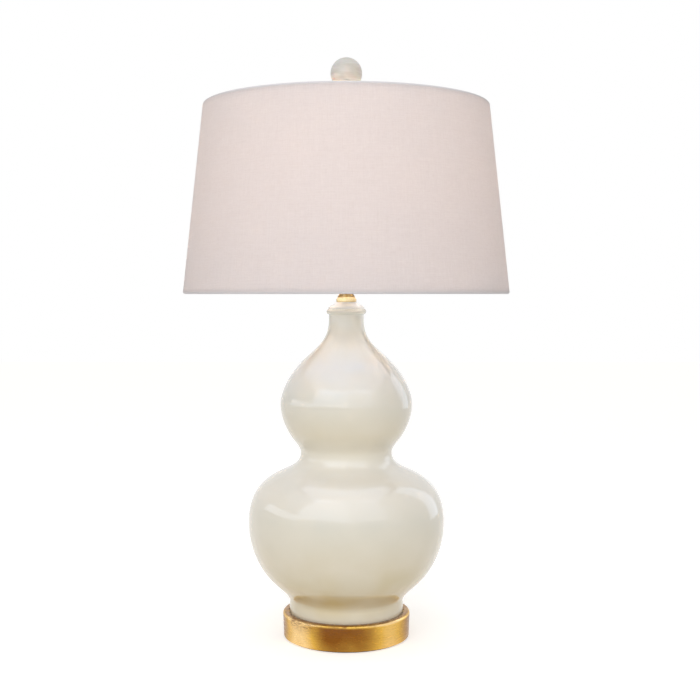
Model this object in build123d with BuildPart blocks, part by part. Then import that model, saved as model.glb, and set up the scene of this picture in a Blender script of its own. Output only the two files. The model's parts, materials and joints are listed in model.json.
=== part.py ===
from build123d import *

import os
from math import asin, atan2, degrees, sqrt

# Table lamp: a glazed double gourd on a round gilt base, with a stepped cap, a brass neck, a harp,
# a turn-knob socket and bulb, a tapered drum shade and a stone ball finial.
# Millimetres, +Z up, the lamp's axis on Z, the origin at the centre of the underside.
# The front faces -Y. The cord inlet and the shade's seam are at the back, +Y. The knob is at +X.

# ---- Clearances -------------------------------------------------------------------------------
THREAD_GAP = 0.1  # radial, between a thread or a slip fit and its hole, on pieces that stay put
RUNNING_GAP = 0.05  # radial, between a shaft and the bore that it turns in
FREE_GAP = 0.3  # between pieces that pass each other
PIPE_HOLE_GAP = 0.5  # radial, around the pipe in the wood and the cap

# ---- Gilt base --------------------------------------------------------------------------------
FELT_THICKNESS = 1.5
FELT_MARGIN = 4.0  # from the base's edge in to the felt's
BASE_HEIGHT = 32.0
BASE_BOTTOM_RADIUS = 79.2
BASE_TOP_RADIUS = 80.4
BASE_TOP_ROUND = 3.5
BASE_BOTTOM_ROUND = 1.5
SEAT_DEPTH = 2.0  # recess that the gourd's foot stands in
SEAT_GAP = 0.8
WELL_RADIUS = 46.0  # hollow underneath, for the nut
WELL_DEPTH = 22.5
INLET_HEIGHT = 12.0  # of the cord inlet's axis, above the wood's underside
GASKET_THICKNESS = 1.0
GASKET_MARGIN = 1.0  # inside the foot ring's edges

# ---- Cord bushing in the base's back wall -----------------------------------------------------
BUSHING_BORE_RADIUS = 3.5
BUSHING_WALL = 1.2
BUSHING_LENGTH = 12.0
BUSHING_FLANGE_WIDTH = 2.4
BUSHING_FLANGE_THICKNESS = 1.6

# ---- Threaded pipe and its fixings ------------------------------------------------------------
PIPE_RADIUS = 4.9
PIPE_BORE_RADIUS = 3.2
PIPE_TAIL = 3.0  # below the nut
WASHER_RADIUS = 16.0
WASHER_THICKNESS = 2.0
LOCK_WASHER_RADIUS = 9.0
LOCK_WASHER_THICKNESS = 1.2
NUT_FLATS = 14.3
NUT_THICKNESS = 5.0

# ---- Double gourd, from the foot up -----------------------------------------------------------
GLAZE_WALL = 5.2
FOOT_RADIUS = 72.2
FOOT_HEIGHT = 13.0  # to the crease, where the lower belly starts
FOOT_RING_WIDTH = 12.0
FOOT_RECESS = 3.0  # under the floor, inside the foot ring
FLOOR_THICKNESS = 7.0
FLOOR_HOLE_RADIUS = 7.0
CREASE_RADIUS = 71.7
LOWER_BELLY_RADIUS = 123.3
LOWER_BELLY_RISE = 101.5  # from the crease
WAIST_RADIUS = 57.5
WAIST_RISE = 86.5  # from the lower belly
UPPER_BELLY_RADIUS = 82.9
UPPER_BELLY_RISE = 61.3  # from the waist
THROAT_RADIUS = 21.85
THROAT_RISE = 106.2  # from the upper belly
THROAT_LENGTH = 7.0  # straight, up to the lip
LIP_RADIUS = 24.9
LIP_HEIGHT = 6.8
# How each flank runs between its two heights: how far out and how far up its middle point lies,
# as shares of the step, and how long its end tangents pull.
CREASE_TO_LOWER_BELLY = (0.441, 0.278, 0.771, 0.886)
LOWER_BELLY_TO_WAIST = (0.526, 0.697, 1.262, 1.084)
WAIST_TO_UPPER_BELLY = (0.315, 0.262, 1.192, 0.931)
UPPER_BELLY_TO_THROAT = (0.488, 0.535, 0.873, 1.322)

# ---- Stepped cap on the gourd's mouth ---------------------------------------------------------
CAP_RADIUS = 22.3
CAP_PLATE_HEIGHT = 2.4
CAP_SHELF_WIDTH = 1.6
CAP_COVE_HEIGHT = 2.4
CAP_DOME_RADIUS = 18.0
CAP_DOME_HEIGHT = 4.0
CAP_LAND_RADIUS = 13.0
CAP_SPIGOT_LENGTH = 6.0

# ---- Brass between the cap and the socket -----------------------------------------------------
CHECK_RING_RADIUS = 12.75
CHECK_RING_HEIGHT = 4.1
CHECK_RING_ROUND = 0.8
NECK_FOOT_RADIUS = 12.2
NECK_WAIST_RADIUS = 7.2
NECK_TOP_RADIUS = 9.4
NECK_WAIST_RISE = 10.5
NECK_RISE = 5.5  # from the neck's waist to its top bead
NECK_BEAD_HEIGHT = 2.0

# ---- Harp saddle and ferrules -----------------------------------------------------------------
SADDLE_THICKNESS = 1.6
SADDLE_WIDTH = 12.7
SADDLE_PAD_RADIUS = 9.5
SADDLE_SHOULDER_RISE = 3.1  # of the uprights' shoulders, above the strip
TONGUE_WIDTH = 5.0
TONGUE_LENGTH = 9.0
HARP_FOOT_OFFSET = 38.0  # from the lamp's axis to the harp's legs
FERRULE_LENGTH = 16.0
FERRULE_WALL = 1.05
FERRULE_FLARE = 0.7
FERRULE_FLARE_HEIGHT = 2.0
FERRULE_TRAVEL = 18.0

# ---- Harp -------------------------------------------------------------------------------------
HARP_WIRE_RADIUS = 2.0
HARP_HEIGHT = 207.5  # from the saddle's shoulders to the top of the boss
HARP_HALF_WIDTH = 57.0
HARP_FLARE_RISE = 62.0  # over which the legs spread
HARP_CROWN_RADIUS = 30.0
HARP_BOSS_RADIUS = 6.5
HARP_BOSS_THICKNESS = 4.4

# ---- Swivel stud on the harp ------------------------------------------------------------------
STUD_SHANK_RADIUS = 2.3
STUD_HEAD_RADIUS = 4.0
STUD_HEAD_THICKNESS = 1.2
STUD_FLANGE_RADIUS = 6.4
STUD_FLANGE_THICKNESS = 2.0
STUD_THREAD_RADIUS = 3.1
STUD_THREAD_LENGTH = 13.0

# ---- Shade ------------------------------------------------------------------------------------
SHADE_BOTTOM_RADIUS = 203.2
SHADE_TOP_RADIUS = 177.8
SHADE_HEIGHT = 234.0
LINEN_THICKNESS = 0.6
LINER_THICKNESS = 0.6
LINER_GAP = 0.05
RING_GAP = 0.25  # between a ring's wire and the linen and liner round it
RING_WIRE_RADIUS = 1.5
HEM_LIP = 4.0  # how far the rolled hem turns down inside
SEAM_WIDTH = 12.0
SEAM_THICKNESS = 0.4
SPIDER_ARMS = 3
SPIDER_WIRE_RADIUS = 1.6
SPIDER_DROP = 4.2  # of the fitter below the top ring
SPIDER_BEND_WIDTH = 26.0  # of the arms' rising ends
FITTER_THICKNESS = 1.6
FITTER_RIM_WIDTH = 2.5  # outside the arms' roots

# ---- Finial -----------------------------------------------------------------------------------
BALL_RADIUS = 19.7
BALL_SEAT_RADIUS = 7.0
BALL_BORE_DEPTH = 12.0
FINIAL_SPIGOT_RADIUS = 3.9
FINIAL_HEIGHT = 27.9  # of the brass under the ball
FINIAL_FOOT_RADIUS = 9.2
FINIAL_FOOT_HEIGHT = 2.6
FINIAL_STEM_RADIUS = 5.4
FINIAL_KNOP_RADIUS = 7.0
FINIAL_KNOP_HEIGHT = 3.2
FINIAL_CUP_RADIUS = 9.6
FINIAL_CUP_HEIGHT = 2.4
FINIAL_BORE_DEPTH = 16.0

# ---- Socket -----------------------------------------------------------------------------------
SADDLE_NUT_FLATS = 14.3
SADDLE_NUT_THICKNESS = 3.0
COLLAR_RADIUS = 6.8
COLLAR_HEIGHT = 6.4
PIPE_IN_COLLAR = 5.6
SHELL_RADIUS = 15.8
SHELL_WALL = 0.6
SHELL_HEIGHT = 36.0  # above the cup's rim
SHELL_TUCK = 4.5  # inside the cup
SHELL_BEAD = 1.3  # proud of the shell
SHELL_BEAD_HEIGHT = 2.4
CUP_WALL = 0.9
CUP_ROUND = 8.6
CUP_RIM_HEIGHT = 5.3
LINING_THICKNESS = 0.7
LINING_PROUD = 0.8  # of the shell's mouth
KNOB_SHAFT_RISE = 7.5  # above the cup's rim
SHAFT_SLOT_WIDTH = 8.4
SHAFT_NECK_RADIUS = 3.6
SHAFT_NECK_LENGTH = 3.2
SOCKET_BODY_RISE = 13.5  # of its top face above the cup's rim
SCREW_SHELL_WALL = 0.5
SCREW_SHELL_HEIGHT = 20.5
TERMINAL_POCKET = (9.0, 3.6, 9.0)  # width, depth, height
TERMINAL_RISE = 7.0  # of the pockets' centre above the body's underside
TERMINAL_HEAD_RADIUS = 3.0
TERMINAL_HEAD_THICKNESS = 1.6
TERMINAL_SHANK_RADIUS = 1.5
TERMINAL_SHANK_LENGTH = 5.0
SET_SCREW_RADIUS = 1.6
SET_SCREW_LENGTH = 4.6
SET_SCREW_RISE = 3.0
CONTACT_HALF_LENGTH = 5.0
CONTACT_WIDTH = 5.0
CONTACT_THICKNESS = 0.4
CONTACT_RISE = 2.2

# ---- Knob -------------------------------------------------------------------------------------
KNOB_SHAFT_RADIUS = 2.0
KNOB_SHAFT_DEPTH = 11.0  # inside the socket body
KNOB_RADIUS = 6.6
KNOB_LENGTH = 12.0
KNOB_FLUTES = 12
KNOB_FLUTE_RADIUS = 0.9
KNOB_STANDOFF = 1.2  # from the shaft's neck

# ---- Bulb -------------------------------------------------------------------------------------
BULB_BASE_RADIUS = 13.0
BULB_BASE_WALL = 0.5
BULB_BASE_HEIGHT = 20.8
BULB_BASE_HIP = 2.0
BULB_TIP_RADIUS = 4.6
BULB_TIP_HEIGHT = 1.5
BULB_INSULATOR_HEIGHT = 2.6
BULB_INSULATOR_RADIUS = 9.4
BULB_RADIUS = 30.0
BULB_NECK_RADIUS = 12.6
BULB_NECK_TUCK = 3.0  # inside the base
BULB_SWELL_RISE = 55.0  # from the base's rim to the widest point
BULB_WALL = 1.0
STEM_RADIUS = 3.4
STEM_HEIGHT = 30.0
STEM_FLARE_HEIGHT = 3.0
LEAD_RADIUS = 0.6
LEAD_SPREAD = 9.0
LEAD_RISE = 20.0

# ---- Heights, worked out from the base up -------------------------------------------------------
wood_low = FELT_THICKNESS
wood_top = wood_low + BASE_HEIGHT
well_ceiling = wood_low + WELL_DEPTH
seat_floor = wood_top - SEAT_DEPTH
washer_low = well_ceiling - WASHER_THICKNESS
lock_washer_low = washer_low - LOCK_WASHER_THICKNESS
nut_low = lock_washer_low - NUT_THICKNESS
pipe_low = nut_low - PIPE_TAIL

foot_low = seat_floor + GASKET_THICKNESS
floor_low = foot_low + FOOT_RECESS
floor_top = floor_low + FLOOR_THICKNESS
crease = foot_low + FOOT_HEIGHT
lower_belly = crease + LOWER_BELLY_RISE
waist = lower_belly + WAIST_RISE
upper_belly = waist + UPPER_BELLY_RISE
throat = upper_belly + THROAT_RISE
lip_low = throat + THROAT_LENGTH
mouth = lip_low + LIP_HEIGHT
mouth_radius = THROAT_RADIUS - GLAZE_WALL

cap_shelf = mouth + CAP_PLATE_HEIGHT
cap_step = cap_shelf + CAP_COVE_HEIGHT
cap_top = cap_step + CAP_DOME_HEIGHT
neck_low = cap_top + CHECK_RING_HEIGHT
neck_waist = neck_low + NECK_WAIST_RISE
neck_bead = neck_waist + NECK_RISE
saddle_low = neck_bead + NECK_BEAD_HEIGHT
saddle_top = saddle_low + SADDLE_THICKNESS
shoulder = saddle_top + SADDLE_SHOULDER_RISE
tongue_top = shoulder + TONGUE_LENGTH
cup_low = saddle_top + SADDLE_NUT_THICKNESS
pipe_top = cup_low + PIPE_IN_COLLAR

boss_top = shoulder + HARP_HEIGHT
boss_low = boss_top - HARP_BOSS_THICKNESS
crown = (boss_top + boss_low) / 2  # height of the wire's centreline at the boss
fitter_low = boss_top + STUD_FLANGE_THICKNESS
fitter_top = fitter_low + FITTER_THICKNESS
thread_top = fitter_low + STUD_THREAD_LENGTH
spider_plane = fitter_low + FITTER_THICKNESS / 2

# The rolled hem is a half tube round the ring and the liner's edge, with the linen's outside
# face as one side.
hem_radius = LINEN_THICKNESS + (LINER_GAP + LINER_THICKNESS) / 2 + RING_GAP + RING_WIRE_RADIUS
top_ring = spider_plane + SPIDER_DROP
bottom_ring = top_ring - SHADE_HEIGHT + 2 * hem_radius

cup_radius = SHELL_RADIUS - SHELL_WALL + LINING_THICKNESS + CUP_WALL
cup_bend = cup_low + COLLAR_HEIGHT + CUP_ROUND
cup_rim = cup_bend + CUP_RIM_HEIGHT
shell_top = cup_rim + SHELL_HEIGHT
shell_inner_radius = SHELL_RADIUS - SHELL_WALL
lining_radius = shell_inner_radius - THREAD_GAP
body_radius = lining_radius - LINING_THICKNESS - 2 * THREAD_GAP
body_top = cup_rim + SOCKET_BODY_RISE
knob_axis = cup_rim + KNOB_SHAFT_RISE
contact_top = body_top + CONTACT_RISE
screw_shell_inner = body_radius - THREAD_GAP - SCREW_SHELL_WALL

bulb_tip = contact_top + FREE_GAP
insulator_low = bulb_tip + BULB_TIP_HEIGHT
bulb_base_low = insulator_low + BULB_INSULATOR_HEIGHT
bulb_base_top = bulb_base_low + BULB_BASE_HEIGHT
bulb_swell = bulb_base_top + BULB_SWELL_RISE

finial_top = fitter_top + FINIAL_HEIGHT
ball_centre = finial_top + sqrt(BALL_RADIUS**2 - BALL_SEAT_RADIUS**2)


def tube(outer, inner, low, height):
    """A straight ring or tube about the lamp's axis."""
    with BuildPart() as piece:
        with BuildSketch(Plane.XY.offset(low)):
            Circle(outer)
            Circle(inner, mode=Mode.SUBTRACT)
        extrude(amount=height)
    return piece


def hexagon_nut(flats, hole, low, height):
    """A hexagon nut about the lamp's axis."""
    with BuildPart() as piece:
        with BuildSketch(Plane.XY.offset(low)):
            RegularPolygon(flats / 2, 6, major_radius=False)
            Circle(hole, mode=Mode.SUBTRACT)
        extrude(amount=height)
    return piece


def wood_radius(height):
    """Radius of the base's tapered side at a height."""
    share = (height - wood_low) / BASE_HEIGHT
    return BASE_BOTTOM_RADIUS + (BASE_TOP_RADIUS - BASE_BOTTOM_RADIUS) * share


def shade_radius(height):
    """Radius of the shade's outside face at a height."""
    share = (height - bottom_ring) / (top_ring - bottom_ring)
    return SHADE_BOTTOM_RADIUS + (SHADE_TOP_RADIUS - SHADE_BOTTOM_RADIUS) * share


# ---- Felt, gilt base, gasket and cord bushing ---------------------------------------------------
with BuildPart() as felt_pad:
    with BuildSketch():
        Circle(BASE_BOTTOM_RADIUS - FELT_MARGIN)
    extrude(amount=FELT_THICKNESS)

inlet_height = wood_low + INLET_HEIGHT
flange_radius = BUSHING_BORE_RADIUS + BUSHING_WALL + BUSHING_FLANGE_WIDTH
spot_face = sqrt(wood_radius(inlet_height) ** 2 - flange_radius**2) - BUSHING_FLANGE_THICKNESS
inlet_plane = Plane(origin=(0, spot_face, inlet_height), x_dir=(1, 0, 0), z_dir=(0, 1, 0))
seat_radius = FOOT_RADIUS + SEAT_GAP

with BuildPart() as gilt_base:
    with BuildSketch(Plane.XZ):
        with BuildLine():
            Polyline(
                (0, wood_low),
                (BASE_BOTTOM_RADIUS, wood_low),
                (BASE_TOP_RADIUS, wood_top),
                (0, wood_top),
                close=True,
            )
        make_face()
    revolve(axis=Axis.Z)
    rims = gilt_base.edges().filter_by(GeomType.CIRCLE).sort_by(Axis.Z)
    fillet(rims[0], BASE_BOTTOM_ROUND)
    fillet(gilt_base.edges().filter_by(GeomType.CIRCLE).sort_by(Axis.Z)[-1], BASE_TOP_ROUND)
    with BuildSketch(Plane.XY.offset(wood_top)):
        Circle(seat_radius)
    extrude(amount=-SEAT_DEPTH, mode=Mode.SUBTRACT)
    with BuildSketch(Plane.XY.offset(wood_low)):
        Circle(WELL_RADIUS)
    extrude(amount=WELL_DEPTH, mode=Mode.SUBTRACT)
    with BuildSketch(Plane.XY.offset(well_ceiling)):
        Circle(PIPE_RADIUS + PIPE_HOLE_GAP)
    extrude(until=Until.LAST, mode=Mode.SUBTRACT)
    with BuildSketch(inlet_plane):
        Circle(flange_radius + THREAD_GAP)
    extrude(amount=2 * BUSHING_FLANGE_THICKNESS, mode=Mode.SUBTRACT)
    with BuildSketch(inlet_plane):
        Circle(BUSHING_BORE_RADIUS + BUSHING_WALL + THREAD_GAP)
    extrude(amount=WELL_RADIUS - spot_face - BUSHING_WALL, mode=Mode.SUBTRACT)

with BuildPart() as cord_bushing:
    with BuildSketch(inlet_plane):
        Circle(flange_radius)
    extrude(amount=BUSHING_FLANGE_THICKNESS)
    with BuildSketch(inlet_plane):
        Circle(BUSHING_BORE_RADIUS + BUSHING_WALL)
    extrude(amount=-BUSHING_LENGTH)
    with BuildSketch(inlet_plane.offset(-BUSHING_LENGTH)):
        Circle(BUSHING_BORE_RADIUS)
    extrude(amount=BUSHING_LENGTH + BUSHING_FLANGE_THICKNESS, mode=Mode.SUBTRACT)
    outer_rim = cord_bushing.edges().filter_by(GeomType.CIRCLE).group_by(Axis.Y)[-1].sort_by(SortBy.RADIUS)[-1]
    chamfer(outer_rim, BUSHING_FLANGE_THICKNESS / 3)

foot_gasket = tube(
    FOOT_RADIUS - GASKET_MARGIN,
    FOOT_RADIUS - FOOT_RING_WIDTH + GASKET_MARGIN,
    seat_floor,
    GASKET_THICKNESS,
)

# ---- Pipe, washers and nut ---------------------------------------------------------------------
pipe_thread = PIPE_RADIUS + THREAD_GAP
lamp_pipe = tube(PIPE_RADIUS, PIPE_BORE_RADIUS, pipe_low, pipe_top - pipe_low)
base_washer = tube(WASHER_RADIUS, pipe_thread, washer_low, WASHER_THICKNESS)
lock_washer = tube(LOCK_WASHER_RADIUS, pipe_thread, lock_washer_low, LOCK_WASHER_THICKNESS)
base_nut = hexagon_nut(NUT_FLATS, pipe_thread, nut_low, NUT_THICKNESS)


# ---- Double gourd ------------------------------------------------------------------------------
def flank(low_point, high_point, run):
    """A smooth S or C curve between two heights where the outline stands upright."""
    out_share, up_share, low_pull, high_pull = run
    (r0, z0), (r1, z1) = low_point, high_point
    middle = (r0 + (r1 - r0) * out_share, z0 + (z1 - z0) * up_share)
    return Spline(
        low_point,
        middle,
        high_point,
        tangents=[(0, 1), (0, 1)],
        tangent_scalars=[low_pull, high_pull],
    )


def inside(curve, share):
    """The point one wall's thickness inside a flank, at a share of its length."""
    point, along = curve @ share, curve % share
    return (point.X - along.Y * GLAZE_WALL, point.Y + along.X * GLAZE_WALL)


turning_points = [
    (CREASE_RADIUS, crease),
    (LOWER_BELLY_RADIUS, lower_belly),
    (WAIST_RADIUS, waist),
    (UPPER_BELLY_RADIUS, upper_belly),
    (THROAT_RADIUS, throat),
]
runs = [CREASE_TO_LOWER_BELLY, LOWER_BELLY_TO_WAIST, WAIST_TO_UPPER_BELLY, UPPER_BELLY_TO_THROAT]
inner_shares = (0.25, 0.5, 0.75, 1.0)

with BuildPart() as gourd_body:
    with BuildSketch(Plane.XZ):
        with BuildLine():
            Line((FOOT_RADIUS, foot_low), turning_points[0])
            flanks = [
                flank(low, high, run)
                for low, high, run in zip(turning_points, turning_points[1:], runs)
            ]
            Line(turning_points[-1], (THROAT_RADIUS, lip_low))
            ThreePointArc(
                (THROAT_RADIUS, lip_low),
                (LIP_RADIUS, lip_low + LIP_HEIGHT / 2),
                (CAP_RADIUS, mouth),
            )
            # The inside is plainer than the outside: short straight cones, one wall in.
            inner = [inside(curve, share) for curve in flanks for share in inner_shares]
            Polyline(
                (CAP_RADIUS, mouth),
                (mouth_radius, mouth),
                *reversed(inner),
                (CREASE_RADIUS - GLAZE_WALL, crease),
                (CREASE_RADIUS - GLAZE_WALL, floor_top),
                (FLOOR_HOLE_RADIUS, floor_top),
                (FLOOR_HOLE_RADIUS, floor_low),
                (FOOT_RADIUS - FOOT_RING_WIDTH, floor_low),
                (FOOT_RADIUS - FOOT_RING_WIDTH, foot_low),
                (FOOT_RADIUS, foot_low),
            )
        make_face()
    revolve(axis=Axis.Z)

# ---- Stepped cap -------------------------------------------------------------------------------
with BuildPart() as vase_cap:
    with BuildSketch(Plane.XZ):
        with BuildLine():
            shelf = (CAP_RADIUS - CAP_SHELF_WIDTH, cap_shelf)
            step = (CAP_DOME_RADIUS, cap_step)
            land = (CAP_LAND_RADIUS, cap_top)
            Polyline(
                land,
                (pipe_thread, cap_top),
                (pipe_thread, mouth - CAP_SPIGOT_LENGTH),
                (mouth_radius - FREE_GAP, mouth - CAP_SPIGOT_LENGTH),
                (mouth_radius - FREE_GAP, mouth),
                (CAP_RADIUS, mouth),
                (CAP_RADIUS, cap_shelf - CAP_PLATE_HEIGHT / 3),
            )
            ThreePointArc(
                (CAP_RADIUS, cap_shelf - CAP_PLATE_HEIGHT / 3),
                (CAP_RADIUS - CAP_SHELF_WIDTH / 4, cap_shelf - CAP_PLATE_HEIGHT / 12),
                shelf,
            )
            SagittaArc(shelf, step, -CAP_COVE_HEIGHT / 6)
            SagittaArc(step, land, CAP_DOME_HEIGHT / 6)
        make_face()
    revolve(axis=Axis.Z)

# ---- Check ring and turned neck ----------------------------------------------------------------
with BuildPart() as check_ring:
    with BuildSketch(Plane.XY.offset(cap_top)):
        Circle(CHECK_RING_RADIUS)
        Circle(pipe_thread, mode=Mode.SUBTRACT)
    extrude(amount=CHECK_RING_HEIGHT)
    outer_edges = check_ring.edges().filter_by(GeomType.CIRCLE).sort_by(SortBy.RADIUS)[-2:]
    fillet(outer_edges, CHECK_RING_ROUND)

with BuildPart() as brass_neck:
    with BuildSketch(Plane.XZ):
        with BuildLine():
            Polyline(
                (NECK_FOOT_RADIUS, neck_low),
                (pipe_thread, neck_low),
                (pipe_thread, saddle_low),
                (NECK_TOP_RADIUS - NECK_BEAD_HEIGHT / 4, saddle_low),
            )
            ThreePointArc(
                (NECK_TOP_RADIUS - NECK_BEAD_HEIGHT / 4, saddle_low),
                (NECK_TOP_RADIUS, (neck_bead + saddle_low) / 2),
                (NECK_TOP_RADIUS - NECK_BEAD_HEIGHT / 4, neck_bead),
            )
            Spline(
                (NECK_TOP_RADIUS - NECK_BEAD_HEIGHT / 4, neck_bead),
                (NECK_WAIST_RADIUS, neck_waist),
                (NECK_FOOT_RADIUS, neck_low),
                tangents=[(-1, -1), (1, -2)],
            )
        make_face()
    revolve(axis=Axis.Z)

# ---- Harp saddle -------------------------------------------------------------------------------
bend_radius = 2 * SADDLE_THICKNESS
saddle_inner = HARP_FOOT_OFFSET - SADDLE_THICKNESS

with BuildPart() as harp_saddle:
    with BuildSketch(Plane.YZ):
        with BuildLine():
            FilletPolyline(
                (0, saddle_low),
                (HARP_FOOT_OFFSET, saddle_low),
                (HARP_FOOT_OFFSET, tongue_top),
                radius=bend_radius,
            )
            Line((HARP_FOOT_OFFSET, tongue_top), (saddle_inner, tongue_top))
            FilletPolyline(
                (saddle_inner, tongue_top),
                (saddle_inner, saddle_top),
                (0, saddle_top),
                radius=bend_radius - SADDLE_THICKNESS,
            )
            Line((0, saddle_top), (0, saddle_low))
        make_face()
    extrude(amount=SADDLE_WIDTH / 2, both=True)
    mirror(about=Plane.XZ)
    # The ends narrow to tongues above the shoulders.
    with BuildSketch(Plane.XZ):
        for side in (-1, 1):
            with Locations((side * (TONGUE_WIDTH + SADDLE_WIDTH) / 2, shoulder)):
                Rectangle(SADDLE_WIDTH, 2 * TONGUE_LENGTH, align=(Align.CENTER, Align.MIN))
    extrude(amount=2 * HARP_FOOT_OFFSET, both=True, mode=Mode.SUBTRACT)
    with BuildSketch(Plane.XY.offset(saddle_low)):
        Circle(SADDLE_PAD_RADIUS)
    extrude(amount=SADDLE_THICKNESS)
    with BuildSketch(Plane.XY.offset(saddle_low)):
        Circle(pipe_thread)
    extrude(amount=SADDLE_THICKNESS, mode=Mode.SUBTRACT)

saddle_nut = hexagon_nut(SADDLE_NUT_FLATS, pipe_thread, saddle_top, SADDLE_NUT_THICKNESS)

# ---- Ferrules ----------------------------------------------------------------------------------
ferrule_bore = max(sqrt((TONGUE_WIDTH / 2) ** 2 + SADDLE_THICKNESS**2), HARP_WIRE_RADIUS) + FREE_GAP
ferrule_radius = ferrule_bore + FERRULE_WALL


def ferrule(side):
    """The sleeve that locks one leg of the harp to the saddle's tongue."""
    with BuildPart() as piece:
        with BuildSketch(Plane((0, side * HARP_FOOT_OFFSET, shoulder))):
            Circle(ferrule_radius)
        extrude(amount=FERRULE_LENGTH)
        with BuildSketch(Plane((0, side * HARP_FOOT_OFFSET, shoulder))):
            Circle(ferrule_radius + FERRULE_FLARE)
        extrude(amount=FERRULE_FLARE_HEIGHT, taper=degrees(atan2(FERRULE_FLARE, FERRULE_FLARE_HEIGHT)))
        with BuildSketch(Plane((0, side * HARP_FOOT_OFFSET, shoulder))):
            Circle(ferrule_bore)
        extrude(amount=FERRULE_LENGTH, mode=Mode.SUBTRACT)
    return piece


ferrule_front = ferrule(-1)
ferrule_back = ferrule(1)

# ---- Harp --------------------------------------------------------------------------------------
leg_top = shoulder + FERRULE_LENGTH + FERRULE_TRAVEL + FREE_GAP
spread = HARP_HALF_WIDTH - HARP_FOOT_OFFSET
flare_radius = ((HARP_FLARE_RISE / 2) ** 2 + (spread / 2) ** 2) / spread
flare_angle = degrees(asin(HARP_FLARE_RISE / 2 / flare_radius))
hip = leg_top + HARP_FLARE_RISE
# Two arcs carry each side from upright at the hip to level at the boss.
crown_rise = crown - hip
side_radius = (HARP_HALF_WIDTH**2 + (crown_rise - HARP_CROWN_RADIUS) ** 2 - HARP_CROWN_RADIUS**2) / (
    2 * (HARP_HALF_WIDTH - HARP_CROWN_RADIUS)
)
side_angle = degrees(atan2(crown_rise - HARP_CROWN_RADIUS, side_radius - HARP_HALF_WIDTH))

with BuildPart() as harp_frame:
    with BuildLine(Plane.YZ) as half_harp:
        leg = Line((HARP_FOOT_OFFSET, shoulder), (HARP_FOOT_OFFSET, leg_top))
        outward = JernArc(leg @ 1, leg % 1, flare_radius, -flare_angle)
        upright = JernArc(outward @ 1, outward % 1, flare_radius, flare_angle)
        side_arc = JernArc(upright @ 1, upright % 1, side_radius, side_angle)
        JernArc(side_arc @ 1, side_arc % 1, HARP_CROWN_RADIUS, 90 - side_angle)
    with BuildSketch(Plane(origin=(0, HARP_FOOT_OFFSET, shoulder))):
        Circle(HARP_WIRE_RADIUS)
    sweep(path=half_harp.wire())
    mirror(about=Plane.XZ)
    with BuildSketch(Plane.XY.offset(boss_low)):
        Circle(HARP_BOSS_RADIUS)
    extrude(amount=HARP_BOSS_THICKNESS)
    with BuildSketch(Plane.XY.offset(boss_low)):
        Circle(STUD_SHANK_RADIUS + RUNNING_GAP)
    extrude(amount=HARP_BOSS_THICKNESS, mode=Mode.SUBTRACT)
    # Each leg's foot is halved, and lies against the outside of its tongue.
    with BuildSketch(Plane.XY.offset(shoulder)):
        Rectangle(4 * HARP_WIRE_RADIUS, 2 * HARP_FOOT_OFFSET)
    extrude(amount=TONGUE_LENGTH, mode=Mode.SUBTRACT)

# ---- Swivel stud -------------------------------------------------------------------------------
head_top = boss_low - RUNNING_GAP
with BuildPart() as harp_stud:
    with BuildSketch(Plane.XZ):
        with BuildLine():
            Polyline(
                (0, head_top - STUD_HEAD_THICKNESS),
                (STUD_HEAD_RADIUS, head_top - STUD_HEAD_THICKNESS),
                (STUD_HEAD_RADIUS, head_top),
                (STUD_SHANK_RADIUS, head_top),
                (STUD_SHANK_RADIUS, boss_top),
                (STUD_FLANGE_RADIUS, boss_top),
                (STUD_FLANGE_RADIUS, fitter_low),
                (STUD_THREAD_RADIUS, fitter_low),
                (STUD_THREAD_RADIUS, thread_top),
                (0, thread_top),
                close=True,
            )
        make_face()
    revolve(axis=Axis.Z)
    chamfer(harp_stud.edges().filter_by(GeomType.CIRCLE).sort_by(Axis.Z)[-1], STUD_THREAD_RADIUS / 5)
    fillet(harp_stud.edges().filter_by(GeomType.CIRCLE).sort_by(Axis.Z)[0], STUD_HEAD_THICKNESS / 2)

# ---- Shade -------------------------------------------------------------------------------------
hem_inner = hem_radius - LINEN_THICKNESS
top_hem_centre = SHADE_TOP_RADIUS - hem_radius
bottom_hem_centre = SHADE_BOTTOM_RADIUS - hem_radius
seam_angle = degrees(SEAM_WIDTH / SHADE_TOP_RADIUS)
ring_inset = LINEN_THICKNESS + LINER_GAP + LINER_THICKNESS + RING_GAP + RING_WIRE_RADIUS
top_ring_radius = SHADE_TOP_RADIUS - ring_inset
bottom_ring_radius = SHADE_BOTTOM_RADIUS - ring_inset
notch_width = 2 * (SPIDER_WIRE_RADIUS + FREE_GAP)

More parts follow.
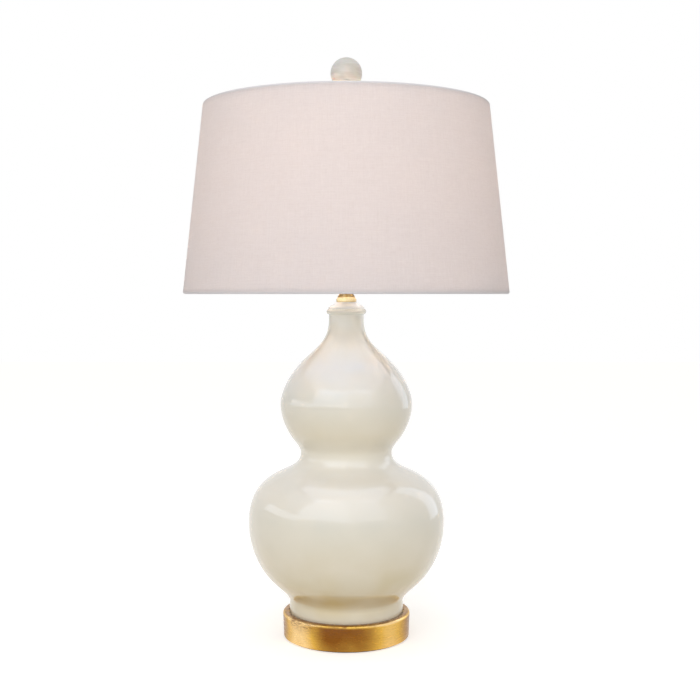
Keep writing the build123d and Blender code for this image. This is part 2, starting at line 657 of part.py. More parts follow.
with BuildPart() as shade_linen:
    with BuildSketch(Plane.XZ):
        with BuildLine():
            Line((SHADE_BOTTOM_RADIUS, bottom_ring), (SHADE_TOP_RADIUS, top_ring))
            CenterArc((top_hem_centre, top_ring), hem_radius, 0, 180)
            Polyline(
                (top_hem_centre - hem_radius, top_ring),
                (top_hem_centre - hem_radius, top_ring - HEM_LIP),
                (top_hem_centre - hem_inner, top_ring - HEM_LIP),
                (top_hem_centre - hem_inner, top_ring),
            )
            CenterArc((top_hem_centre, top_ring), hem_inner, 180, -180)
            Line((top_hem_centre + hem_inner, top_ring), (bottom_hem_centre + hem_inner, bottom_ring))
            CenterArc((bottom_hem_centre, bottom_ring), hem_inner, 0, -180)
            Polyline(
                (bottom_hem_centre - hem_inner, bottom_ring),
                (bottom_hem_centre - hem_inner, bottom_ring + HEM_LIP),
                (bottom_hem_centre - hem_radius, bottom_ring + HEM_LIP),
                (bottom_hem_centre - hem_radius, bottom_ring),
            )
            CenterArc((bottom_hem_centre, bottom_ring), hem_radius, 180, 180)
        make_face()
    revolve(axis=Axis.Z)
    # The linen overlaps itself in one upright seam at the back.
    with BuildSketch(Plane.XZ.rotated((0, 0, 90 - seam_angle / 2))) as seam:
        with BuildLine():
            Polyline(
                (SHADE_BOTTOM_RADIUS - LINEN_THICKNESS / 2, bottom_ring),
                (SHADE_BOTTOM_RADIUS + SEAM_THICKNESS, bottom_ring),
                (SHADE_TOP_RADIUS + SEAM_THICKNESS, top_ring),
                (SHADE_TOP_RADIUS - LINEN_THICKNESS / 2, top_ring),
                close=True,
            )
        make_face()
    revolve(axis=Axis.Z, revolution_arc=seam_angle)
    # The hem is slit where the spider's arms pass.
    with BuildSketch(Plane.XY.offset(top_ring + SPIDER_WIRE_RADIUS + FREE_GAP)):
        with PolarLocations(top_ring_radius, SPIDER_ARMS, start_angle=-90):
            Rectangle(2 * hem_radius, notch_width, align=(Align.MAX, Align.CENTER))
    extrude(amount=-(HEM_LIP + SPIDER_WIRE_RADIUS + 2 * FREE_GAP), mode=Mode.SUBTRACT)

with BuildPart() as shade_liner:
    with BuildSketch(Plane.XZ):
        with BuildLine():
            outer_in = LINEN_THICKNESS + LINER_GAP
            inner_in = outer_in + LINER_THICKNESS
            Polyline(
                (SHADE_BOTTOM_RADIUS - outer_in, bottom_ring),
                (SHADE_TOP_RADIUS - outer_in, top_ring),
                (SHADE_TOP_RADIUS - inner_in, top_ring),
                (SHADE_BOTTOM_RADIUS - inner_in, bottom_ring),
                close=True,
            )
        make_face()
    revolve(axis=Axis.Z)

with BuildPart() as shade_ring:
    with Locations((0, 0, bottom_ring)):
        Torus(bottom_ring_radius, RING_WIRE_RADIUS)

# ---- Spider fitter: top ring, three arms and the washer that sits on the stud --------------------
arm_root = max(FINIAL_FOOT_RADIUS, STUD_FLANGE_RADIUS) + 2 * SPIDER_WIRE_RADIUS
with BuildPart() as spider_arm:
    with BuildLine(Plane.XZ) as arm_line:
        FilletPolyline(
            (arm_root, spider_plane),
            (top_ring_radius - SPIDER_BEND_WIDTH, spider_plane),
            (top_ring_radius, top_ring),
            radius=SPIDER_BEND_WIDTH,
        )
    with BuildSketch(Plane(origin=(arm_root, 0, spider_plane), z_dir=(1, 0, 0))):
        Circle(SPIDER_WIRE_RADIUS)
    sweep(path=arm_line.wire())

with BuildPart() as spider_fitter:
    with Locations((0, 0, top_ring)):
        Torus(top_ring_radius, RING_WIRE_RADIUS)
    with PolarLocations(0, SPIDER_ARMS, start_angle=-90):
        add(spider_arm.part)
    with BuildSketch(Plane.XY.offset(fitter_low)):
        Circle(arm_root + FITTER_RIM_WIDTH)
    extrude(amount=FITTER_THICKNESS)
    with BuildSketch(Plane.XY.offset(fitter_low)):
        Circle(STUD_THREAD_RADIUS + FREE_GAP)
    extrude(amount=FITTER_THICKNESS, mode=Mode.SUBTRACT)

# ---- Finial ------------------------------------------------------------------------------------
foot_edge = fitter_top + FINIAL_FOOT_HEIGHT
knop = (foot_edge + finial_top - FINIAL_CUP_HEIGHT) / 2
with BuildPart() as finial_base:
    with BuildSketch(Plane.XZ):
        with BuildLine():
            Polyline(
                (0, finial_top + BALL_BORE_DEPTH - FREE_GAP),
                (0, fitter_top + FINIAL_BORE_DEPTH),
                (STUD_THREAD_RADIUS + THREAD_GAP, fitter_top + FINIAL_BORE_DEPTH),
                (STUD_THREAD_RADIUS + THREAD_GAP, fitter_top),
                (FINIAL_FOOT_RADIUS, fitter_top),
            )
            SagittaArc(
                (FINIAL_FOOT_RADIUS, fitter_top),
                (FINIAL_FOOT_RADIUS, foot_edge),
                -FINIAL_FOOT_HEIGHT / 5,
            )
            SagittaArc(
                (FINIAL_FOOT_RADIUS, foot_edge),
                (FINIAL_STEM_RADIUS, knop - FINIAL_KNOP_HEIGHT / 2),
                FINIAL_FOOT_HEIGHT / 2,
            )
            ThreePointArc(
                (FINIAL_STEM_RADIUS, knop - FINIAL_KNOP_HEIGHT / 2),
                (FINIAL_KNOP_RADIUS, knop),
                (FINIAL_STEM_RADIUS, knop + FINIAL_KNOP_HEIGHT / 2),
            )
            SagittaArc(
                (FINIAL_STEM_RADIUS, knop + FINIAL_KNOP_HEIGHT / 2),
                (FINIAL_CUP_RADIUS, finial_top - FINIAL_CUP_HEIGHT),
                FINIAL_CUP_HEIGHT / 2,
            )
            Polyline(
                (FINIAL_CUP_RADIUS, finial_top - FINIAL_CUP_HEIGHT),
                (BALL_SEAT_RADIUS, finial_top),
                (FINIAL_SPIGOT_RADIUS, finial_top),
                (FINIAL_SPIGOT_RADIUS, finial_top + BALL_BORE_DEPTH - FREE_GAP),
                (0, finial_top + BALL_BORE_DEPTH - FREE_GAP),
            )
        make_face()
    revolve(axis=Axis.Z)

with BuildPart() as finial_ball:
    with Locations((0, 0, ball_centre)):
        Sphere(BALL_RADIUS)
    split(bisect_by=Plane.XY.offset(finial_top))
    with BuildSketch(Plane.XY.offset(finial_top)):
        Circle(FINIAL_SPIGOT_RADIUS + THREAD_GAP)
    extrude(amount=BALL_BORE_DEPTH, mode=Mode.SUBTRACT)

# ---- Socket cup, its lining and set screw --------------------------------------------------------
bend_centre = cup_radius - CUP_ROUND
cup_inner = cup_radius - CUP_WALL
screw_height = cup_low + SET_SCREW_RISE
screw_plane = Plane(origin=(-pipe_thread, 0, screw_height), x_dir=(0, 1, 0), z_dir=(-1, 0, 0))

with BuildPart() as socket_cup:
    with BuildSketch(Plane.XZ):
        with BuildLine():
            Polyline(
                (bend_centre, cup_low + COLLAR_HEIGHT),
                (COLLAR_RADIUS, cup_low + COLLAR_HEIGHT - CUP_WALL / 2),
                (COLLAR_RADIUS, cup_low),
                (pipe_thread, cup_low),
                (pipe_thread, cup_low + COLLAR_HEIGHT + CUP_WALL),
                (bend_centre, cup_low + COLLAR_HEIGHT + CUP_WALL),
            )
            CenterArc((bend_centre, cup_bend), CUP_ROUND, -90, 90)
            Polyline(
                (cup_radius, cup_bend),
                (cup_radius, cup_rim),
                (cup_inner, cup_rim),
                (cup_inner, cup_bend),
            )
            CenterArc((bend_centre, cup_bend), CUP_ROUND - CUP_WALL, 0, -90)
        make_face()
    revolve(axis=Axis.Z)
    with BuildSketch(screw_plane):
        Circle(SET_SCREW_RADIUS + THREAD_GAP)
    extrude(amount=COLLAR_RADIUS, mode=Mode.SUBTRACT)

with BuildPart() as set_screw:
    with BuildSketch(screw_plane.offset(THREAD_GAP)):
        Circle(SET_SCREW_RADIUS)
    extrude(amount=SET_SCREW_LENGTH)
    with BuildSketch(screw_plane.offset(THREAD_GAP + SET_SCREW_LENGTH)):
        Rectangle(SET_SCREW_RADIUS / 3, 3 * SET_SCREW_RADIUS)
    extrude(amount=-SET_SCREW_RADIUS / 2, mode=Mode.SUBTRACT)

lining_round = CUP_ROUND - CUP_WALL - THREAD_GAP
with BuildPart() as cup_lining:
    with BuildSketch(Plane.XZ):
        with BuildLine():
            Polyline(
                (bend_centre, cup_bend - lining_round),
                (pipe_thread, cup_bend - lining_round),
                (pipe_thread, cup_bend - lining_round + LINING_THICKNESS),
                (bend_centre, cup_bend - lining_round + LINING_THICKNESS),
            )
            CenterArc((bend_centre, cup_bend), lining_round - LINING_THICKNESS, -90, 90)
            Line(
                (bend_centre + lining_round - LINING_THICKNESS, cup_bend),
                (bend_centre + lining_round, cup_bend),
            )
            CenterArc((bend_centre, cup_bend), lining_round, 0, -90)
        make_face()
    revolve(axis=Axis.Z)

# ---- Socket shell and its lining ------------------------------------------------------------------
shell_low = cup_rim - SHELL_TUCK
tuck_radius = cup_inner - THREAD_GAP
bead_radius = SHELL_RADIUS + SHELL_BEAD
bead_top = cup_rim + SHELL_BEAD_HEIGHT
slot_top = knob_axis + SHAFT_SLOT_WIDTH / 2
slot_plane = Plane(origin=(0, 0, knob_axis), x_dir=(0, 1, 0), z_dir=(1, 0, 0))

with BuildPart() as socket_shell:
    with BuildSketch(Plane.XZ):
        with BuildLine():
            Polyline(
                (SHELL_RADIUS, bead_top),
                (SHELL_RADIUS, shell_top - 2 * SHELL_WALL),
                (SHELL_RADIUS + SHELL_WALL, shell_top - SHELL_WALL),
                (SHELL_RADIUS, shell_top),
                (shell_inner_radius, shell_top),
                (shell_inner_radius, shell_low),
                (tuck_radius, shell_low),
                (tuck_radius, cup_rim),
                (bead_radius - SHELL_WALL, cup_rim),
            )
            ThreePointArc(
                (bead_radius - SHELL_WALL, cup_rim),
                (bead_radius, (cup_rim + bead_top) / 2),
                (SHELL_RADIUS, bead_top),
            )
        make_face()
    revolve(axis=Axis.Z)
    with BuildSketch(slot_plane):
        Circle(SHAFT_SLOT_WIDTH / 2)
        Rectangle(SHAFT_SLOT_WIDTH, knob_axis - shell_low, align=(Align.CENTER, Align.MAX))
    extrude(amount=2 * bead_radius, mode=Mode.SUBTRACT)

with BuildPart() as shell_lining:
    with BuildSketch(Plane.XY.offset(shell_low)):
        Circle(lining_radius)
        Circle(lining_radius - LINING_THICKNESS, mode=Mode.SUBTRACT)
    extrude(amount=shell_top + LINING_PROUD - shell_low)
    with BuildSketch(slot_plane):
        Circle(SHAFT_SLOT_WIDTH / 2)
        Rectangle(SHAFT_SLOT_WIDTH, knob_axis - shell_low, align=(Align.CENTER, Align.MAX))
    extrude(amount=2 * bead_radius, mode=Mode.SUBTRACT)

# ---- Socket body, terminals, screw shell and centre contact -----------------------------------------
body_low = cup_bend - lining_round + LINING_THICKNESS + FREE_GAP
terminal_height = body_low + TERMINAL_RISE
pocket_width, pocket_depth, pocket_height = TERMINAL_POCKET
pocket_face = body_radius - pocket_depth
neck_end = SHELL_RADIUS + SHAFT_NECK_LENGTH


def terminal_plane(side):
    """The face that a terminal's screw head stands on."""
    return Plane(origin=(0, side * pocket_face, terminal_height), x_dir=(1, 0, 0), z_dir=(0, side, 0))


with BuildPart() as socket_body:
    with BuildSketch(Plane.XY.offset(body_low)):
        Circle(body_radius)
    extrude(amount=body_top - body_low)
    lower_edge = socket_body.edges().filter_by(GeomType.CIRCLE).sort_by(Axis.Z)[0]
    fillet(lower_edge, min(body_radius - bend_centre, TERMINAL_RISE))
    with BuildSketch(slot_plane):
        Circle(SHAFT_NECK_RADIUS)
    extrude(amount=neck_end)
    for side in (-1, 1):
        with BuildSketch(terminal_plane(side)):
            Rectangle(pocket_width, pocket_height)
        extrude(amount=pocket_depth, mode=Mode.SUBTRACT)
        with BuildSketch(terminal_plane(side)):
            Circle(TERMINAL_SHANK_RADIUS + THREAD_GAP)
        extrude(amount=-TERMINAL_SHANK_LENGTH, mode=Mode.SUBTRACT)
    with BuildSketch(slot_plane.offset(body_radius - KNOB_SHAFT_DEPTH)):
        Circle(KNOB_SHAFT_RADIUS + RUNNING_GAP)
    extrude(amount=neck_end, mode=Mode.SUBTRACT)

with BuildPart() as terminal_screws:
    for side in (-1, 1):
        with BuildSketch(terminal_plane(side)):
            Circle(TERMINAL_HEAD_RADIUS)
        extrude(amount=TERMINAL_HEAD_THICKNESS)
        with BuildSketch(terminal_plane(side)):
            Circle(TERMINAL_SHANK_RADIUS)
        extrude(amount=-TERMINAL_SHANK_LENGTH)
        with BuildSketch(terminal_plane(side).offset(TERMINAL_HEAD_THICKNESS)):
            Rectangle(TERMINAL_SHANK_RADIUS / 2, 3 * TERMINAL_HEAD_RADIUS)
        extrude(amount=-TERMINAL_HEAD_THICKNESS / 3, mode=Mode.SUBTRACT)

with BuildPart() as screw_shell:
    with BuildSketch(Plane.XY.offset(body_top)):
        Circle(screw_shell_inner + SCREW_SHELL_WALL)
    extrude(amount=SCREW_SHELL_HEIGHT)
    with BuildSketch(Plane.XY.offset(body_top + SCREW_SHELL_WALL)):
        Circle(screw_shell_inner)
    extrude(amount=SCREW_SHELL_HEIGHT, mode=Mode.SUBTRACT)
    with BuildSketch(Plane.XY.offset(body_top)):
        Circle(CONTACT_HALF_LENGTH + 2 * FREE_GAP)
    extrude(amount=SCREW_SHELL_WALL, mode=Mode.SUBTRACT)

with BuildPart() as centre_contact:
    with BuildSketch(Plane.XZ):
        with BuildLine():
            ThreePointArc(
                (-CONTACT_HALF_LENGTH, body_top),
                (0, contact_top),
                (CONTACT_HALF_LENGTH, body_top),
            )
            Line((CONTACT_HALF_LENGTH, body_top), (CONTACT_HALF_LENGTH - CONTACT_THICKNESS, body_top))
            ThreePointArc(
                (CONTACT_HALF_LENGTH - CONTACT_THICKNESS, body_top),
                (0, contact_top - CONTACT_THICKNESS),
                (CONTACT_THICKNESS - CONTACT_HALF_LENGTH, body_top),
            )
            Line((CONTACT_THICKNESS - CONTACT_HALF_LENGTH, body_top), (-CONTACT_HALF_LENGTH, body_top))
        make_face()
    extrude(amount=CONTACT_WIDTH / 2, both=True)

# ---- Knob and its shaft ----------------------------------------------------------------------------
knob_start = neck_end + KNOB_STANDOFF
with BuildPart() as knob_shaft:
    with BuildSketch(slot_plane.offset(body_radius - KNOB_SHAFT_DEPTH + FREE_GAP)):
        Circle(KNOB_SHAFT_RADIUS)
    extrude(amount=knob_start + KNOB_LENGTH / 2 - (body_radius - KNOB_SHAFT_DEPTH + FREE_GAP))

with BuildPart() as switch_knob:
    with BuildSketch(slot_plane.offset(knob_start)):
        Circle(KNOB_RADIUS)
    extrude(amount=KNOB_LENGTH)
    end_rims = switch_knob.edges().filter_by(GeomType.CIRCLE).sort_by(Axis.X)
    fillet(end_rims[-1], KNOB_RADIUS / 4)
    with BuildSketch(slot_plane.offset(knob_start)):
        with PolarLocations(KNOB_RADIUS, KNOB_FLUTES):
            Circle(KNOB_FLUTE_RADIUS)
    extrude(amount=KNOB_LENGTH, mode=Mode.SUBTRACT)
    with BuildSketch(slot_plane.offset(knob_start)):
        Circle(KNOB_SHAFT_RADIUS + THREAD_GAP)
    extrude(amount=KNOB_LENGTH / 2 + FREE_GAP, mode=Mode.SUBTRACT)

# ---- Bulb --------------------------------------------------------------------------------------------
base_inner = BULB_BASE_RADIUS - BULB_BASE_WALL
glass_root = bulb_base_top - BULB_NECK_TUCK
glass_root_radius = base_inner - THREAD_GAP

with BuildPart() as bulb_tip_contact:
    with BuildSketch(Plane.XZ):
        with BuildLine():
            Polyline(
                (0, bulb_tip),
                (0, insulator_low),
                (BULB_TIP_RADIUS, insulator_low),
                (BULB_TIP_RADIUS * 0.85, insulator_low - BULB_TIP_HEIGHT * 0.45),
                (BULB_TIP_RADIUS * 0.5, insulator_low - BULB_TIP_HEIGHT * 0.85),
                close=True,
            )
        make_face()
    revolve(axis=Axis.Z)

with BuildPart() as bulb_insulator:
    with BuildSketch(Plane.XZ):
        with BuildLine():
            Polyline(
                (0, insulator_low),
                (BULB_TIP_RADIUS + BULB_BASE_WALL, insulator_low),
                (BULB_INSULATOR_RADIUS, bulb_base_low),
                (BULB_INSULATOR_RADIUS, bulb_base_low + BULB_BASE_WALL),
                (0, bulb_base_low + BULB_BASE_WALL),
                close=True,
            )
        make_face()
    revolve(axis=Axis.Z)

with BuildPart() as bulb_screw_base:
    with BuildSketch(Plane.XZ):
        with BuildLine():
            hole = BULB_INSULATOR_RADIUS + THREAD_GAP
            Polyline(
                (hole, bulb_base_low),
                (BULB_BASE_RADIUS - BULB_BASE_HIP / 2, bulb_base_low + BULB_BASE_HIP / 3),
                (BULB_BASE_RADIUS, bulb_base_low + BULB_BASE_HIP),
                (BULB_BASE_RADIUS, bulb_base_top),
                (base_inner, bulb_base_top),
                (base_inner, bulb_base_low + BULB_BASE_HIP + BULB_BASE_WALL),
                (base_inner - BULB_BASE_HIP / 2, bulb_base_low + BULB_BASE_HIP / 3 + BULB_BASE_WALL),
                (hole, bulb_base_low + BULB_BASE_WALL),
                close=True,
            )
        make_face()
    revolve(axis=Axis.Z)

with BuildPart() as bulb_glass:
    with BuildSketch(Plane.XZ):
        with BuildLine():
            Line((glass_root_radius, glass_root), (glass_root_radius, bulb_base_top))
            Spline(
                (glass_root_radius, bulb_base_top),
                (BULB_RADIUS, bulb_swell),
                tangents=[(0, 1), (0, 1)],
                tangent_scalars=[1.1, 1.4],
            )
            CenterArc((0, bulb_swell), BULB_RADIUS, 0, 90)
            Line((0, bulb_swell + BULB_RADIUS), (0, bulb_swell + BULB_RADIUS - BULB_WALL))
            CenterArc((0, bulb_swell), BULB_RADIUS - BULB_WALL, 90, -90)
            Spline(
                (BULB_RADIUS - BULB_WALL, bulb_swell),
                (glass_root_radius - BULB_WALL, bulb_base_top),
                tangents=[(0, -1), (0, -1)],
                tangent_scalars=[1.4, 1.1],
            )
            Polyline(
                (glass_root_radius - BULB_WALL, bulb_base_top),
                (glass_root_radius - BULB_WALL, glass_root),
                (glass_root_radius, glass_root),
            )
        make_face()
    revolve(axis=Axis.Z)

stem_top = glass_root + STEM_HEIGHT
filament = stem_top + LEAD_RISE
with BuildPart() as bulb_stem:
    with BuildSketch(Plane.XY.offset(glass_root)):
        Circle(glass_root_radius - BULB_WALL - THREAD_GAP)
    extrude(amount=STEM_FLARE_HEIGHT, taper=45)
    with BuildSketch(Plane.XY.offset(glass_root)):
        Circle(STEM_RADIUS)
    extrude(amount=STEM_HEIGHT)
    for side in (-1, 1):
        with BuildLine() as lead:
            Polyline(
                (side * STEM_RADIUS / 2, 0, stem_top - LEAD_RADIUS),
                (side * LEAD_SPREAD, 0, filament),
            )
        with BuildSketch(Plane(origin=lead.line @ 0, z_dir=lead.line % 0)):
            Circle(LEAD_RADIUS)
        sweep(path=lead.wire())
    with BuildSketch(Plane(origin=(-LEAD_SPREAD - LEAD_RADIUS, 0, filament), z_dir=(1, 0, 0))):
        Circle(LEAD_RADIUS)
    extrude(amount=2 * (LEAD_SPREAD + LEAD_RADIUS))

# ---- One STEP file for each piece ----------------------------------------------------------------------
pieces = {
    "felt_pad": felt_pad,
    "gilt_base": gilt_base,
    "cord_bushing": cord_bushing,
    "foot_gasket": foot_gasket,
    "lamp_pipe": lamp_pipe,
    "base_washer": base_washer,
    "lock_washer": lock_washer,
    "base_nut": base_nut,
    "gourd_body": gourd_body,
    "vase_cap": vase_cap,
    "check_ring": check_ring,
    "brass_neck": brass_neck,
    "harp_saddle": harp_saddle,
    "saddle_nut": saddle_nut,
    "socket_cup": socket_cup,
    "set_screw": set_screw,
    "cup_lining": cup_lining,
    "socket_shell": socket_shell,
    "shell_lining": shell_lining,
    "socket_body": socket_body,
    "terminal_screws": terminal_screws,
    "screw_shell": screw_shell,
    "centre_contact": centre_contact,
    "knob_shaft": knob_shaft,
    "switch_knob": switch_knob,
    "bulb_tip_contact": bulb_tip_contact,
    "bulb_insulator": bulb_insulator,
    "bulb_screw_base": bulb_screw_base,
    "bulb_glass": bulb_glass,
    "bulb_stem": bulb_stem,
    "harp_frame": harp_frame,
    "ferrule_front": ferrule_front,
    "ferrule_back": ferrule_back,
    "harp_stud": harp_stud,
    "spider_fitter": spider_fitter,
    "shade_linen": shade_linen,
    "shade_liner": shade_liner,
    "shade_ring": shade_ring,
    "finial_base": finial_base,
    "finial_ball": finial_ball,
}
os.makedirs("parts", exist_ok=True)
for name, piece in pieces.items():
    piece.part.label = name
    export_step(piece.part, f"parts/{name}.step")
print("finial top", round(ball_centre + BALL_RADIUS, 1), "shade bottom", round(bottom_ring - hem_radius, 1))
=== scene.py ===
"""Dresses the double gourd table lamp round its packed CAD frame: glaze, gold leaf, brass, linen,
bulb and ball finial. Metres, +Z up, the front faces -Y, the knob is at +X."""

import json
import math
from contextlib import contextmanager

import bmesh
import bpy
import numpy as np
from bpy.props import FloatProperty, FloatVectorProperty, IntProperty, PointerProperty
from mathutils import Matrix, Vector

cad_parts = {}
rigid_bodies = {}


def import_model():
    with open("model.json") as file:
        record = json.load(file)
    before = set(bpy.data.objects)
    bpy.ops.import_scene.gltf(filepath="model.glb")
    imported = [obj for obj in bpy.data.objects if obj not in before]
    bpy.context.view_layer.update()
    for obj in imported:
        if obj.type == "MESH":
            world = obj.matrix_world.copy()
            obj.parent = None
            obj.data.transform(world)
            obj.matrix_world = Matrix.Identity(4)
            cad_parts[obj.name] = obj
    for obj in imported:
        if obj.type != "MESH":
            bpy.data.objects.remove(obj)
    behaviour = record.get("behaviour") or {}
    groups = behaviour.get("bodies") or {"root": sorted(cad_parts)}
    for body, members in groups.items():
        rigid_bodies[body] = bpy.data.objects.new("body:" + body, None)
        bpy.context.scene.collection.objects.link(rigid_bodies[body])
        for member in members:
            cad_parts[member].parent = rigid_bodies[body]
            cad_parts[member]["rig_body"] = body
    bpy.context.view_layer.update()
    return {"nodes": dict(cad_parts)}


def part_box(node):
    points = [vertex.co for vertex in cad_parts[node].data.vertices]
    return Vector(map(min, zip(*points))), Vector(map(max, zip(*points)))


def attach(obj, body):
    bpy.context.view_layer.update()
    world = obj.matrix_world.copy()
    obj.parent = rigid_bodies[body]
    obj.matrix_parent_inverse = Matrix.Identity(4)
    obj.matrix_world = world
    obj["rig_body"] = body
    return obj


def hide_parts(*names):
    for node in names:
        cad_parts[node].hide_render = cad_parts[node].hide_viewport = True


bl_info = {
    "name": "Double Gourd Lamp",
    "version": (1, 0, 0),
    "blender": (4, 5, 0),
    "location": "View3D > Sidebar > Lamp",
    "description": "Glazes, gilds and dresses a double gourd table lamp round its CAD frame",
    "category": "Object",
}

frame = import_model()
MM = 0.001
NO_TURN = math.radians(0.5)  # less than this between two runs of an outline is straight
CORNER = math.radians(40)  # more than this is a corner, and stays one
SAME_PLACE = 2e-5  # CAD points nearer than this are one point of an outline
OUTLINE_SAG = 4e-6  # how far an outline's straight joins may pass from the CAD's points
HARP_WIRE, RING_WIRE, ARM_WIRE = 2 * MM, 1.5 * MM, 1.6 * MM  # the wires' radii
ARM_ANGLES = [math.radians(-90 + 120 * k) for k in range(3)]  # the spider's arms, from +X
ROLLED_DEPTH, ROLLED_PITCH = 0.22 * MM, 3.6 * MM  # the thread of the bulb's base and its socket
WHITE = (1.0, 1.0, 1.0, 1.0)


# ---- Nodes --------------------------------------------------------------------------------------
MATH, NOISE, RANGE = "ShaderNodeMath", "ShaderNodeTexNoise", "ShaderNodeMapRange"
MIX, BUMP, PRINCIPLED = "ShaderNodeMix", "ShaderNodeBump", "ShaderNodeBsdfPrincipled"


def linear(tone):
    """An sRGB hex value, or a colour setting, as linear red, green, blue and alpha."""
    if not isinstance(tone, str):
        return (*tone, 1.0)
    shares = [int(tone[i : i + 2], 16) / 255 for i in (1, 3, 5)]
    bent = [c / 12.92 if c <= 0.04045 else ((c + 0.055) / 1.055) ** 2.4 for c in shares]
    return (*bent, 1.0)


def node(tree, kind, inputs=(), output=0, **settings):
    """Adds one node with its settings, and gives one of its outputs. What goes into it is other
    nodes' outputs and plain values, in the order of its inputs or by their names."""
    made = tree.nodes.new(kind)
    for name, value in settings.items():
        setattr(made, name, value)
    places = inputs if isinstance(inputs, dict) else dict(enumerate(inputs))
    for place, value in places.items():
        if isinstance(value, bpy.types.NodeSocket):
            tree.links.new(value, made.inputs[place])
        else:
            made.inputs[place].default_value = value
    return made.outputs[output] if made.outputs else None


# ---- The lathe and the wire bender: Geometry Nodes trees ----------------------------------------
def spoken(key):
    """A keyword as a socket's name: thread_depth is Thread Depth."""
    return key.replace("_", " ").title()


def new_tree(name, **inputs):
    """A Geometry Nodes tree and its inputs by name. Each input is a kind and a default."""
    tree = bpy.data.node_groups.new(name, "GeometryNodeTree")
    sockets = tree.interface
    for key, (kind, default) in inputs.items():
        made = sockets.new_socket(spoken(key), in_out="INPUT", socket_type=f"NodeSocket{kind}")
        if default is not None:
            made.default_value = default
    sockets.new_socket("Geometry", in_out="OUTPUT", socket_type="NodeSocketGeometry")
    return tree, tree.nodes.new("NodeGroupInput").outputs


def close_tree(tree, geometry, finish):
    """Realize Instances and Set Material, last in each tree, because the export drops instances."""
    smooth = node(tree, "GeometryNodeSetShadeSmooth", {"Geometry": geometry})
    real = node(tree, "GeometryNodeRealizeInstances", {"Geometry": smooth})
    dressed = node(tree, "GeometryNodeSetMaterial", {"Geometry": real, "Material": finish})
    node(tree, "NodeGroupOutput", {"Geometry": dressed})
    return tree


def lathe_tree():
    """Turns an outline, whose X is the radius, about Z, and rolls a thread if that has a depth."""
    tree, given = new_tree(
        "Lathe",
        outline=("Geometry", None),
        steps_around=("Int", 128),
        width=("Float", 1.0),
        length=("Float", 1.0),
        thread_depth=("Float", 0.0),
        thread_pitch=("Float", 0.003),
        thread_foot=("Float", 0.0),
        thread_head=("Float", 0.0),
        waver=("Float", 0.0),
        waver_size=("Float", 0.05),
        finish=("Material", None),
    )
    outline, steps, pitch = given["Outline"], given["Steps Around"], given["Thread Pitch"]
    rows = node(tree, "GeometryNodeAttributeDomainSize", [outline], "Point Count")
    columns = node(tree, MATH, [steps, 1.0], operation="ADD")
    sheet = node(tree, "GeometryNodeMeshGrid", {"Vertices X": columns, "Vertices Y": rows})
    index = node(tree, "GeometryNodeInputIndex")
    row = node(tree, "FunctionNodeIntegerMath", [index, rows], operation="MODULO")
    column = node(tree, "FunctionNodeIntegerMath", [index, rows], operation="DIVIDE_FLOOR")
    position = node(tree, "GeometryNodeInputPosition")
    inputs = {"Geometry": outline, "Value": position, "Index": row}
    point = node(tree, "GeometryNodeSampleIndex", inputs, data_type="FLOAT_VECTOR")
    split = node(tree, "ShaderNodeSeparateXYZ", [point]).node.outputs
    radius, height = split["X"], split["Z"]
    turns = node(tree, MATH, [column, steps], operation="DIVIDE")
    angle = node(tree, MATH, [turns, math.tau], operation="MULTIPLY")
    sine = node(tree, MATH, [angle], operation="SINE")
    cosine = node(tree, MATH, [angle], operation="COSINE")

    def place_at(radius):
        x = node(tree, MATH, [radius, cosine], operation="MULTIPLY")
        y = node(tree, MATH, [radius, sine], operation="MULTIPLY")
        return node(tree, "ShaderNodeCombineXYZ", [x, y, height])

    # The thread: a sine that climbs one pitch a turn and fades in and out at its ends.
    climbs = node(tree, MATH, [height, pitch], operation="DIVIDE")
    phase = node(tree, MATH, [climbs, turns], operation="SUBTRACT")
    phase = node(tree, MATH, [phase, math.tau], operation="MULTIPLY")
    wave = node(tree, MATH, [phase], operation="SINE")
    wave = node(tree, MATH, [wave, given["Thread Depth"]], operation="MULTIPLY")
    above = node(tree, MATH, [height, given["Thread Foot"]], operation="SUBTRACT")
    below = node(tree, MATH, [given["Thread Head"], height], operation="SUBTRACT")
    inside = node(tree, MATH, [above, below], operation="MINIMUM")
    fade = node(tree, RANGE, [inside, 0.0, pitch])
    threaded = node(tree, MATH, [wave, fade, radius], operation="MULTIPLY_ADD")
    # The waver: how far a thrown or gilded wall strays from true.
    scale = node(tree, MATH, [1.0, given["Waver Size"]], operation="DIVIDE")
    pattern = node(tree, NOISE, {"Vector": place_at(radius), "Scale": scale, "Detail": 1.0})
    stray = node(tree, MATH, [pattern, 0.5], operation="SUBTRACT")
    stray = node(tree, MATH, [stray, given["Waver"]], operation="MULTIPLY")
    off_axis = node(tree, MATH, [radius, 1e-6], operation="GREATER_THAN")
    wavering = node(tree, MATH, [stray, off_axis, threaded], operation="MULTIPLY_ADD")
    # The UV map runs round and along the outline in metres.
    size = node(tree, "ShaderNodeCombineXYZ", [given["Width"], given["Length"]])
    square = sheet.node.outputs["UV Map"]
    cloth = node(tree, "ShaderNodeVectorMath", [square, size], operation="MULTIPLY")
    mapped = node(
        tree,
        "GeometryNodeStoreNamedAttribute",
        {"Geometry": sheet, "Name": "UVMap", "Value": cloth},
        data_type="FLOAT2",
        domain="CORNER",
    )
    inputs = {"Geometry": mapped, "Position": place_at(wavering)}
    turned = node(tree, "GeometryNodeSetPosition", inputs)
    joined = node(tree, "GeometryNodeMergeByDistance", {"Geometry": turned, "Distance": 1e-6})
    return close_tree(tree, joined, given["Finish"])


